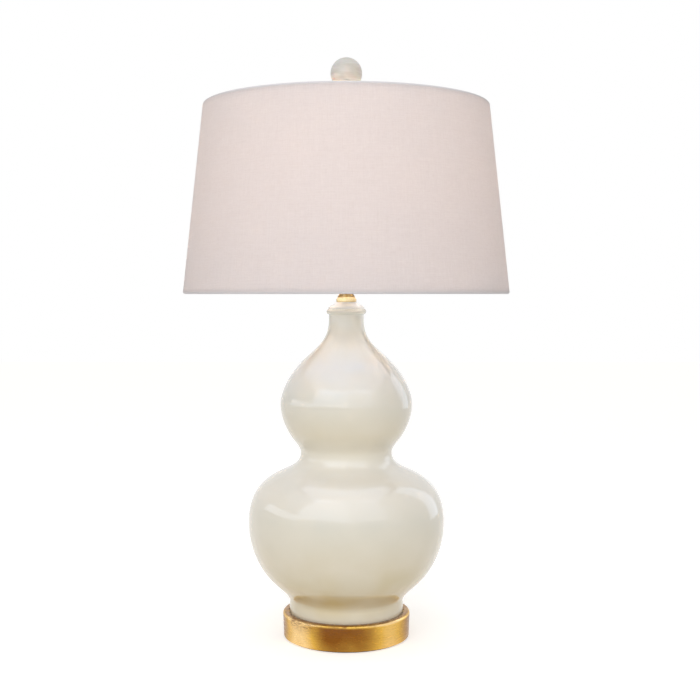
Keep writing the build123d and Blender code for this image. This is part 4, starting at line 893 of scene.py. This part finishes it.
def honed_alabaster(tree, settings):
    """Alabaster turned and honed to a satin: grey-white, banded level, faintly translucent."""
    place = node(tree, "ShaderNodeTexCoord", output="Object")
    flat = node(tree, "ShaderNodeMapping", {"Vector": place, "Scale": (0.10, 0.10, 1.0)})
    looks = {"detail": 4.0, "roughness": 0.6, "distortion": 0.4}
    bands = blotches(tree, flat, 4.5 * MM, 0.36, 0.64, **looks)
    tints = {0: bands, 6: linear(settings.stone_dark), 7: linear(settings.stone)}
    tint = node(tree, MIX, tints, 2, data_type="RGBA")
    cloud = blotches(tree, place, 10 * MM, 0.45, 0.75, full=0.35)
    tint = node(tree, MIX, {0: cloud, 6: tint, 7: linear("#D9D6CC")}, 2, data_type="RGBA")
    inputs = {
        "Base Color": tint,
        "Roughness": blotches(tree, place, 1.5 * MM, 0.3, 0.7, 0.34, 0.46, detail=2.0),
        "Normal": relief(tree, place, 1.2 * MM, 0.008 * MM, detail=2.0),
        "Subsurface Weight": 0.15,
        "Subsurface Scale": 4 * MM,
    }
    return node(tree, PRINCIPLED, inputs)


# ---- What a user would change -------------------------------------------------------------------
def colour_setting(name, description, hex_colour):
    """A colour whose default is an sRGB hex value."""
    return FloatVectorProperty(
        name=name,
        description=description,
        default=linear(hex_colour)[:3],
        subtype="COLOR",
        size=3,
        min=0.0,
        max=1.0,
    )


def length_setting(name, description, default):
    return FloatProperty(name=name, description=description, default=default, unit="LENGTH")


def share_setting(name, description, default):
    """A share from none to all."""
    return FloatProperty(
        name=name, description=description, default=default, min=0.0, max=1.0, subtype="FACTOR"
    )


class GlazeSettings(bpy.types.PropertyGroup):
    """The gourd's porcelain and glaze"""

    glaze: colour_setting("Glaze", "Ivory of the glaze on the bellies", "#E2DFD6")
    # This colour, under each belly, is painted shade, partly glaze pooled there.
    glaze_pooled_and_shaded: colour_setting("Glaze, pooled", "Ivory under each belly", "#DDD5BF")
    glaze_top: length_setting(
        "Glaze top",
        "Height of the lip, which the glaze's tones are placed against",
        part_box("gourd_body")[1].z,
    )
    waver: length_setting("Waver", "How far the thrown wall strays from true", 0.35 * MM)
    steps: IntProperty(name="Steps", description="Faces round the gourd", default=224, min=24)


class GiltSettings(bpy.types.PropertyGroup):
    """The gilt base"""

    # The bright leaf colour is that of the painted highlights and reflections; the deep one is that
    # of the painted dark reflection between them, and of worn scuffs.
    leaf: colour_setting("Leaf", "Gold leaf", "#D8AC4E")
    leaf_highlight: colour_setting("Leaf, bright", "Burnished leaf", "#F1CE90")
    leaf_deep_and_dark_reflection: colour_setting("Leaf, deep", "Thin leaf over clay", "#84521E")
    clay: colour_setting("Clay", "Red clay under the leaf", "#7B4A22")
    # This colour is the painted shade on the flat top, mottled like toning wax.
    wax: colour_setting("Wax", "Brown toning wax", "#8A5A2E")
    top: length_setting("Top", "Height of the base's flat top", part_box("gilt_base")[1].z)
    waver: length_setting("Waver", "How far the gilded side strays from true", 0.25 * MM)


class ShadeSettings(bpy.types.PropertyGroup):
    """The shade, its lining and the light inside"""

    linen: colour_setting("Linen", "Linen threads", "#F8F4F6")
    linen_dark: colour_setting("Linen, hollows", "Between the threads", "#EEE9EB")
    top_radius: length_setting("Top radius", "Outside of the linen at the top ring", 177.8 * MM)
    let_through: share_setting(
        "Light through", "Share of the light that the linen lets through", 0.40
    )
    lining_through: share_setting(
        "Light through lining", "Share of the light that the styrene lining lets through", 0.88
    )
    glow: colour_setting("Glow", "Colour of the lit bulb", "#FFE8D4")
    bulb_strength: FloatProperty(
        name="Bulb strength", description="Brightness of the lit bulb", default=47.0, min=0.0
    )


class FinialSettings(bpy.types.PropertyGroup):
    """The ball finial"""

    stone: colour_setting("Stone", "Pale bands", "#D8D8D7")
    stone_dark: colour_setting("Stone, bands", "Grey bands", "#C6C3BC")


class StageSettings(bpy.types.PropertyGroup):
    """The floor, the lights and the camera"""

    focal: FloatProperty(name="Lens", description="Focal length, in mm", default=60.69)
    distance: length_setting("Distance", "From the camera to the lamp's axis", 1.484)
    eye: length_setting("Eye height", "Height of the camera", 0.4339)
    aside: length_setting("Aside", "Camera's distance to the right", 0.0046)
    tilt: FloatProperty(
        name="Tilt",
        description="How far the camera looks down",
        default=math.radians(2.73),
        unit="ROTATION",
    )
    daylight: FloatProperty(
        name="Daylight", description="Level light from all round", default=0.68, min=0.0
    )


# ---- Operators: one for each piece or group of like pieces --------------------------------------
class LAMP_OT_gild_base(bpy.types.Operator):
    """Turn and gild the base, with its spot face, cord inlet and felt"""

    bl_idname = "lamp.gild_base"
    bl_label = "Gilt base"

    def execute(self, context):
        settings = context.scene.lamp_gilt
        # The inlet is at the back, so the outline is read from the front.
        points = fair(outline("gilt_base", (-170, -10)), 0.5 * MM, 4 * MM)
        leaf = finish("Toned gold leaf", gold_leaf, settings)
        base = turn("gilded_drum", points, leaf, 256, waver=settings.waver, waver_size=30 * MM)
        low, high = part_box("cord_bushing")
        across, level = (low.x + high.x) / 2, (low.z + high.z) / 2
        outside = (across, high.y + 20 * MM, level)
        flange = (high.x - low.x) / 2 + 0.1 * MM
        spot_face = rod((across, high.y - 1.6 * MM, level), outside, flange)
        inlet = rod((across, 40 * MM, level), outside, flange - 2.4 * MM)
        seat(ease_edges(cut(base, spot_face, inlet), 0.3 * MM), "gilt_base")
        nylon = finish("Moulded brown nylon")
        retrace_part("inlet_bushing", "cord_bushing", nylon, 0.25 * MM)
        dress("felt_pad", finish("Wool felt"))
        dress("foot_gasket", finish("Sheet rubber"))
        return {"FINISHED"}


class LAMP_OT_fit_pipe(bpy.types.Operator):
    """Fit the threaded pipe with its washers and nut"""

    bl_idname = "lamp.fit_pipe"
    bl_label = "Pipe and nuts"

    def execute(self, context):
        steel = finish("Zinc plated steel")
        low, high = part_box("lamp_pipe")
        thread = (0.10 * MM, 2.2 * MM, low.z, high.z)
        turn_part(
            "threaded_pipe", "lamp_pipe", steel, 32, 1 * MM, straights=0.45 * MM, thread=thread
        )
        for part in ("base_washer", "lock_washer", "base_nut", "saddle_nut"):
            retrace_part(f"{part}_plated", part, steel, 0.2 * MM)
        return {"FINISHED"}


class LAMP_OT_throw_gourd(bpy.types.Operator):
    """Throw and glaze the double gourd"""

    bl_idname = "lamp.throw_gourd"
    bl_label = "Double gourd"

    def execute(self, context):
        settings = context.scene.lamp_glaze
        turn_part(
            "glazed_gourd",
            "gourd_body",
            finish("Ivory glazed porcelain", ivory_glazed_porcelain, settings),
            settings.steps,
            spacing=2.2 * MM,
            straights=8 * MM,
            eased=0.5 * MM,
            waver=settings.waver,
            waver_size=70 * MM,
        )
        return {"FINISHED"}


class LAMP_OT_seat_cap(bpy.types.Operator):
    """Seat the stepped cap on the gourd's mouth, and the check ring and neck on it"""

    bl_idname = "lamp.seat_cap"
    bl_label = "Cap, ring and neck"

    def execute(self, context):
        enamel, metal = finish("Ivory stoved enamel", ivory_enamel), finish("Turned brass")
        turn_part("enamelled_cap", "vase_cap", enamel, 128, 0.4 * MM, eased=0.2 * MM)
        turn_part("polished_ring", "check_ring", metal, 128, 0.4 * MM, eased=0.15 * MM)
        turn_part("polished_neck", "brass_neck", metal, 128, 0.4 * MM, eased=0.15 * MM)
        return {"FINISHED"}


def arc(centre, radius, start, end, steps):
    """Points on an arc, by its two angles in degrees."""
    x, y = centre
    angles = [math.radians(start + (end - start) * i / steps) for i in range(steps + 1)]
    return [Vector((x + radius * math.cos(a), y + radius * math.sin(a))) for a in angles]


def harp_line():
    """One side of the harp, as (out, up) points from the foot to the boss, bent as the CAD's is."""
    low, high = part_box("harp_frame")
    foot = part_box("harp_saddle")[1].y
    half_width = high.y - HARP_WIRE
    leg_top = low.z + 34.3 * MM  # the ferrule's length and travel
    flare = 62 * MM
    crown_radius = 30 * MM
    crown = high.z - 2.2 * MM  # the middle of the boss
    spread = half_width - foot
    bend = ((flare / 2) ** 2 + (spread / 2) ** 2) / spread
    swing = math.degrees(math.asin(flare / 2 / bend))
    hip = leg_top + flare
    rise = crown - hip - crown_radius
    side = (half_width**2 + rise**2 - crown_radius**2) / (2 * (half_width - crown_radius))
    lean = math.degrees(math.atan2(rise, side - half_width))
    return (
        [Vector((foot, low.z)), Vector((foot, leg_top - 4 * MM))]
        + arc((foot + bend, leg_top), bend, 180, 180 - swing, 12)
        + arc((half_width - bend, hip), bend, -swing, 0, 12)[1:]
        + arc((half_width - side, hip), side, 0, lean, 24)[1:]
        + arc((0, crown - crown_radius), crown_radius, lean, 90, 24)[1:]
    )


class LAMP_OT_bend_harp(bpy.types.Operator):
    """Bend the harp, and fit its saddle, ferrules and swivel stud"""

    bl_idname = "lamp.bend_harp"
    bl_label = "Harp"

    def execute(self, context):
        plated, metal = finish("Brass plated wire"), finish("Turned brass")
        side = harp_line()
        path = [(0, -p.x, p.y) for p in side] + [(0, p.x, p.y) for p in reversed(side[:-1])]
        loop = wire("harp_wire", path, HARP_WIRE, plated, 24)
        low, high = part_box("harp_frame")
        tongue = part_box("harp_saddle")[1]
        reach = 10 * MM
        # Each foot is halved, to lie against the outside of the saddle's tongue.
        between = block((-reach, -tongue.y, low.z - reach), (reach, tongue.y, tongue.z))
        loop = cut(loop, between)
        # The boss is pressed round the wire, which stops short of the stud's hole.
        loop = cut(loop, rod((0, 0, high.z - 2 * reach), (0, 0, high.z + 2 * reach), 4 * MM))
        ring = fair(washer(2.35 * MM, 6.5 * MM, high.z - 4.4 * MM, high.z), 1 * MM)
        boss = ease_edges(turn("harp_boss", ring, plated, 64), 0.5 * MM)
        seat(merge("harp_loop", [loop, boss]), "harp_frame")
        retrace_part("saddle_strip", "harp_saddle", plated, 0.3 * MM)
        for part, away in (("ferrule_front", -tongue.y), ("ferrule_back", tongue.y)):
            points = fair(outline(part, about=(0.0, away)), 0.5 * MM, 2 * MM)
            sleeve = turn(f"{part}_sleeve", points, metal, 48)
            sleeve.data.transform(Matrix.Translation((0, away, 0)))
            seat(ease_edges(sleeve, 0.2 * MM), part)
        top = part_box("harp_stud")[1].z
        thread = (0.12 * MM, 0.95 * MM, top - 12.6 * MM, top)
        turn_part(
            "swivel_stud", "harp_stud", metal, 48, 0.4 * MM, straights=0.22 * MM, thread=thread
        )
        return {"FINISHED"}


class LAMP_OT_build_socket(bpy.types.Operator):
    """Build the socket: cup, shell, linings, body, terminals and screw shell"""

    bl_idname = "lamp.build_socket"
    bl_label = "Socket"

    def execute(self, context):
        shell, contact = finish("Spun brass shell"), finish("Turned brass")
        fibre = finish("Pressed fibre")
        # The set screw is at -X and the shaft's slot at +X, so outlines are read from the back.
        back, reach = (20, 160), 30 * MM
        cup = turn("socket_cup_spun", fair(outline("socket_cup", back), 0.5 * MM), shell, 96)
        low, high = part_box("set_screw")
        level, screw = (low.z + high.z) / 2, (high.z - low.z) / 2
        cup = cut(cup, rod((-reach, 0, level), (0, 0, level), screw + 0.1 * MM, 24))
        seat(ease_edges(cup, 0.15 * MM), "socket_cup")
        low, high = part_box("knob_shaft")
        level, slot = (low.z + high.z) / 2, 4.2 * MM
        for name, part, stuff in (
            ("socket_shell_spun", "socket_shell", shell),
            ("shell_lining_fibre", "shell_lining", fibre),
        ):
            piece = turn(name, fair(outline(part, back), 0.5 * MM, 3 * MM), stuff, 96)
            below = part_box(part)[0].z - 10 * MM
            piece = cut(
                piece,
                rod((0, 0, level), (reach, 0, level), slot),
                block((0, -slot, below), (reach, slot, level)),
            )
            seat(piece, part)
        turn_part("cup_lining_fibre", "cup_lining", fibre, 96, 0.5 * MM)
        retrace_part("socket_core", "socket_body", finish("Moulded phenolic"), 0.2 * MM)
        for part in ("terminal_screws", "set_screw"):
            retrace_part(f"{part}_brass", part, contact, 0.12 * MM)
        retrace_part("centre_spring", "centre_contact", contact, 0)
        low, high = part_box("screw_shell")
        thread = (ROLLED_DEPTH, ROLLED_PITCH, low.z + 2 * MM, high.z - 1 * MM)
        name, part = "screw_shell_rolled", "screw_shell"
        turn_part(name, part, contact, 96, 0.5 * MM, straights=0.5 * MM, thread=thread)
        return {"FINISHED"}


class LAMP_OT_fit_knob(bpy.types.Operator):
    """Fit the turn knob and its shaft"""

    bl_idname = "lamp.fit_knob"
    bl_label = "Knob"

    def execute(self, context):
        retrace_part("fluted_knob", "switch_knob", finish("Moulded phenolic"), 0.3 * MM)
        retrace_part("knob_spindle", "knob_shaft", finish("Turned brass"), 0.15 * MM)
        return {"FINISHED"}


class LAMP_OT_blow_bulb(bpy.types.Operator):
    """Make the bulb: frosted glass, rolled base, black glass insulator and tip"""

    bl_idname = "lamp.blow_bulb"
    bl_label = "Bulb"

    def execute(self, context):
        settings = context.scene.lamp_shade
        glass = finish("Frosted bulb glass", frosted_bulb_glass, settings)
        turn_part("frosted_globe", "bulb_glass", glass, 96, 1.5 * MM, straights=3 * MM)
        rolled = finish("Rolled aluminium")
        low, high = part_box("bulb_screw_base")
        thread = (ROLLED_DEPTH, ROLLED_PITCH, low.z + 3 * MM, high.z - 3.5 * MM)
        name, part = "rolled_screw_base", "bulb_screw_base"
        turn_part(name, part, rolled, 96, 0.5 * MM, straights=0.5 * MM, thread=thread)
        turn_part("black_insulator", "bulb_insulator", finish("Black glass"), 48, 0.5 * MM)
        turn_part("tin_tip", "bulb_tip_contact", finish("Tinned contact"), 48, 0.5 * MM)
        dress("bulb_stem", finish("Clear stem glass"))
        return {"FINISHED"}


class LAMP_OT_wire_spider(bpy.types.Operator):
    """Wire the spider: the washer on the stud, three arms and the top ring"""

    bl_idname = "lamp.wire_spider"
    bl_label = "Spider"

    def execute(self, context):
        plated = finish("Brass plated wire")
        low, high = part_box("spider_fitter")
        ring_radius = high.x - RING_WIRE
        ring_level = high.z - max(RING_WIRE, ARM_WIRE)
        hub_level = low.z + ARM_WIRE
        hub_hole, hub_edge, root = 3.4 * MM, 14.9 * MM, 12.4 * MM
        plate = 0.8 * MM  # half the washer's thickness
        bend, steps = 26 * MM, 12
        ring = wire("ring", circle(ring_radius, ring_level), RING_WIRE, plated, 16)
        flat = washer(hub_hole, hub_edge, hub_level - plate, hub_level + plate)
        parts = [ring, ease_edges(turn("hub", flat, plated, 64), 0.3 * MM)]
        line = [(root, hub_level)]
        for i in range(steps + 1):
            t = i / steps
            rise = (ring_level - hub_level) * (3 * t * t - 2 * t**3)
            line.append((ring_radius - bend + bend * t, hub_level + rise))
        for turned in ARM_ANGLES:
            path = [(r * math.cos(turned), r * math.sin(turned), z) for r, z in line]
            parts.append(wire("arm", path, ARM_WIRE, plated, 16))
        seat(merge("spider_wires", parts), "spider_fitter")
        return {"FINISHED"}


def circle(radius, level, steps=192):
    """Points round the lamp's axis, the last on the first."""
    turns = [math.tau * i / steps for i in range(steps + 1)]
    return [(radius * math.cos(a), radius * math.sin(a), level) for a in turns]


def lap_seam(name, foot, head, width, proud, cloth, steps=6):
    """The cloth's lap, upright at the back, between two (radius, height) points on the drum."""
    shape = bmesh.new()
    layer = shape.loops.layers.uv.new("UVMap")
    half = width / 2 / head.x
    slope = (head - foot).length
    rows, places = [], {}
    for rise in (proud, -proud):
        for share in (0.0, 1.0):
            level = foot.lerp(head, share)
            radius = level.x + rise
            rows.append([])
            for i in range(steps + 1):
                angle = math.pi / 2 + half * (2 * i / steps - 1)
                spot = (radius * math.cos(angle), radius * math.sin(angle), level.y)
                rows[-1].append(shape.verts.new(spot))
                places[rows[-1][-1]] = (i / steps * width, share * slope)
    low, high = (rows[i] + rows[i + 2][::-1] for i in range(2))
    sides = zip(low, low[1:] + low[:1], high[1:] + high[:1], high)
    for corners in (*sides, low[::-1], high):
        face = shape.faces.new(corners)
        face.smooth = True
        for loop in face.loops:
            loop[layer].uv = places[loop.vert]
    return ease_edges(face_outwards(shape_object(name, shape, cloth)), 0.15 * MM)


class LAMP_OT_cover_shade(bpy.types.Operator):
    """Cover the drum: linen with rolled hems and a seam, styrene lining and bottom ring"""

    bl_idname = "lamp.cover_shade"
    bl_label = "Shade"

    def execute(self, context):
        settings = context.scene.lamp_shade
        cloth = finish("White plain-weave linen", white_linen, settings)
        low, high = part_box("shade_linen")
        # The linen goes over each ring and turns in behind the lining's edge.
        hem, thick = 2.675 * MM, 0.6 * MM
        foot = Vector((high.x - hem, low.z + hem))
        head = Vector((settings.top_radius - hem, high.z - hem))
        inner = hem - thick
        out, into, lip = Vector((hem, 0)), Vector((inner, 0)), Vector((0, 4 * MM))
        points = (
            [foot + out + (head - foot) * i / 40 for i in range(41)]
            + arc(head, hem, 0, 180, 14)[1:]
            + [head - out - lip, head - into - lip]
            + arc(head, inner, 180, 0, 12)
            + arc(foot, inner, 0, -180, 12)
            + [foot - into + lip, foot - out + lip]
            + arc(foot, hem, 180, 360, 14)
        )
        linen = turn("linen", points, cloth, 288)
        # The hem is slit where the spider's arms pass under the ring.
        rim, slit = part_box("spider_fitter")[1], 3.9 * MM
        slit_low = (rim.x - 8.5 * MM, -slit / 2, rim.z - 7 * MM)
        slit_high = (rim.x - 1.5 * MM, slit / 2, rim.z - 0.5 * MM)
        for turned in ARM_ANGLES:
            cutter = block(slit_low, slit_high)
            cutter.data.transform(Matrix.Rotation(turned, 4, "Z"))
            linen = cut(linen, cutter)
        seam = lap_seam("seam", foot + out, head + out, 12 * MM, 0.4 * MM, cloth)
        seat(merge("linen_drum", [linen, seam]), "shade_linen")
        styrene = finish("White styrene sheet", white_styrene, settings)
        turn_part("styrene_lining", "shade_liner", styrene, 256, 1 * MM, straights=12 * MM)
        low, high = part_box("shade_ring")
        hoop = circle(high.x - RING_WIRE, (low.z + high.z) / 2)
        painted = finish("White painted wire")
        seat(wire("bottom_hoop", hoop, RING_WIRE, painted, 16), "shade_ring")
        return {"FINISHED"}


class LAMP_OT_top_finial(bpy.types.Operator):
    """Top the lamp with its brass finial base and alabaster ball"""

    bl_idname = "lamp.top_finial"
    bl_label = "Finial"

    def execute(self, context):
        metal = finish("Turned brass")
        turn_part("finial_stem", "finial_base", metal, 96, 0.4 * MM, eased=0.2 * MM)
        stone = finish("Honed alabaster", honed_alabaster, context.scene.lamp_finial)
        turn_part("alabaster_ball", "finial_ball", stone, 128, 1 * MM)
        return {"FINISHED"}


def white_rays(tree):
    """One for the rays that see a white background: the camera's, and those in gloss and glass."""
    ray = node(tree, "ShaderNodeLightPath").node.outputs
    # Light that a thin cloth scatters through itself counts as both, and keeps the plain level.
    clear = [ray["Is Transmission Ray"], ray["Is Diffuse Ray"]]
    white = node(tree, MATH, clear, operation="SUBTRACT")
    for kind in ("Is Glossy Ray", "Is Camera Ray"):
        white = node(tree, MATH, [ray[kind], white], operation="MAXIMUM")
    return white


def pale_floor(tree):
    """Board painted off-white with a roller: matt, with the lamp's soft shadow on it, and white
    where it is seen or mirrored."""
    place = node(tree, "ShaderNodeTexCoord", output="Object")
    grain = node(tree, NOISE, {"Vector": place, "Scale": 1 / (50 * MM), "Detail": 2.0})
    tints = {0: grain, 6: linear("#E2E0DC"), 7: linear("#E6E4E0")}
    tint = node(tree, MIX, tints, 2, data_type="RGBA")
    matt = node(tree, "ShaderNodeBsdfDiffuse", {"Color": tint})
    seen = node(tree, "ShaderNodeBsdfDiffuse", {"Color": (0.75, 0.75, 0.75, 1.0)})
    lift = node(tree, "ShaderNodeEmission", {"Color": WHITE, "Strength": 0.5})
    bright = node(tree, "ShaderNodeAddShader", [seen, lift])
    return node(tree, "ShaderNodeMixShader", [white_rays(tree), matt, bright])


class LAMP_OT_set_stage(bpy.types.Operator):
    """Set the floor, the daylight, the windows and the camera"""

    bl_idname = "lamp.set_stage"
    bl_label = "Stage"

    def execute(self, context):
        settings = context.scene.lamp_stage
        self.floor()
        self.daylight(settings.daylight)
        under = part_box("shade_linen")[0].z - 4 * MM
        for name, place, size, power, target in (
            # A wide soft light in front, and two panes before it, from about eye height up.
            ("window_wall", (0.0, -1.90, 2.05), (9.0, 3.2), 30.0, (0, 0, 2.05)),
            ("window_left", (-0.32, -0.65, 1.18), (0.87, 1.65), 7.6, (0, 0, 1.18)),
            ("window_right", (0.32, -0.65, 1.18), (0.55, 1.65), 2.6, (0, 0, 1.18)),
            # A ledge, low at the left.
            ("window_ledge", (-0.71, -0.10, 0.37), (0.67, 0.14), 0.50, (0, 0, 0.37)),
            # Two cards under the shade carry the panes' reflection up the shoulder, where the
            # shade would hide them.
            ("card_wide", (0.0, -0.09, under), (0.34, 0.24), 0.40, (0.0, -0.09, 0)),
            ("card_pane", (-0.05, -0.10, under), (0.09, 0.20), 0.12, (-0.05, -0.10, 0)),
            # A tall strip at the right, behind.
            ("strip_right", (1.27, 0.80, 1.45), (0.60, 2.7), 6.8, (0, 0, 1.45)),
        ):
            lamp = self.window(name, place, size, power, target)
            lamp.data.color = linear("#DCE9FF")[:3]
            lamp.visible_diffuse = False
        # The soft key light, which no gloss shows.
        lamp = self.window("lamp_front", (-0.35, -2.4, 1.5), (1.8, 1.8), 25.5, (0, 0, 0.35))
        lamp.visible_glossy = False
        camera = bpy.data.objects.new("camera", bpy.data.cameras.new("camera"))
        camera.data.lens = settings.focal
        camera.data.sensor_width = 36.0
        camera.location = (settings.aside, -settings.distance, settings.eye)
        camera.rotation_euler = (math.pi / 2 - settings.tilt, 0.0, 0.0)
        context.scene.collection.objects.link(camera)
        context.scene.camera = camera
        context.scene.view_settings.view_transform = "Standard"
        return {"FINISHED"}

    def floor(self):
        """A pale floor, wide enough to have no edge in sight."""
        reach = 6.0
        corners = [(-reach, -reach, 0), (reach, -reach, 0), (reach, reach, 0), (-reach, reach, 0)]
        mesh = bpy.data.meshes.new("floor")
        mesh.from_pydata(corners, [], [(0, 1, 2, 3)])
        mesh.materials.append(finish("Pale floor", pale_floor))
        new_object("floor", mesh)

    def daylight(self, level):
        """Level daylight, seen as white by the camera, and in metal and glass."""
        world = bpy.data.worlds.new("daylight")
        world.use_nodes = True
        tree = world.node_tree
        tree.nodes.clear()
        soft = {"Color": linear("#FFFCF8"), "Strength": level}
        soft = node(tree, "ShaderNodeBackground", soft)
        white = node(tree, "ShaderNodeBackground", {"Color": WHITE, "Strength": 1.0})
        sky = node(tree, "ShaderNodeMixShader", [white_rays(tree), soft, white])
        node(tree, "ShaderNodeOutputWorld", [sky])
        bpy.context.scene.world = world

    def window(self, name, place, size, power, target):
        """A soft rectangular light that faces a target."""
        light = bpy.data.lights.new(name, "AREA")
        light.shape = "RECTANGLE"
        light.size, light.size_y = size
        light.energy = power
        lamp = new_object(name, light)
        lamp.location = place
        aim = Vector(target) - Vector(place)
        lamp.rotation_euler = aim.to_track_quat("-Z", "Y").to_euler()
        lamp.visible_camera = False
        return lamp


OPERATORS = (
    LAMP_OT_gild_base,
    LAMP_OT_fit_pipe,
    LAMP_OT_throw_gourd,
    LAMP_OT_seat_cap,
    LAMP_OT_bend_harp,
    LAMP_OT_build_socket,
    LAMP_OT_fit_knob,
    LAMP_OT_blow_bulb,
    LAMP_OT_wire_spider,
    LAMP_OT_cover_shade,
    LAMP_OT_top_finial,
    LAMP_OT_set_stage,
)
SETTINGS = {
    "lamp_glaze": GlazeSettings,
    "lamp_gilt": GiltSettings,
    "lamp_shade": ShadeSettings,
    "lamp_finial": FinialSettings,
    "lamp_stage": StageSettings,
}


class LAMP_PT_pieces(bpy.types.Panel):
    """Lists the lamp's settings and pieces"""

    bl_idname = "LAMP_PT_pieces"
    bl_label = "Double Gourd Lamp"
    bl_space_type = "VIEW_3D"
    bl_region_type = "UI"
    bl_category = "Lamp"

    def draw(self, context):
        for name, group in SETTINGS.items():
            box = self.layout.box()
            box.label(text=group.__doc__)
            for setting in group.__annotations__:
                box.prop(getattr(context.scene, name), setting)
        for operator in OPERATORS:
            self.layout.operator(operator.bl_idname)


def register():
    for group in (*SETTINGS.values(), *OPERATORS, LAMP_PT_pieces):
        bpy.utils.register_class(group)
    for name, group in SETTINGS.items():
        setattr(bpy.types.Scene, name, PointerProperty(type=group))


def unregister():
    for name in SETTINGS:
        delattr(bpy.types.Scene, name)
    for group in reversed((*SETTINGS.values(), *OPERATORS, LAMP_PT_pieces)):
        bpy.utils.unregister_class(group)


def main():
    register()
    for operator in OPERATORS:
        area, name = operator.bl_idname.split(".")
        getattr(getattr(bpy.ops, area), name)()


if __name__ == "__main__":
    main()
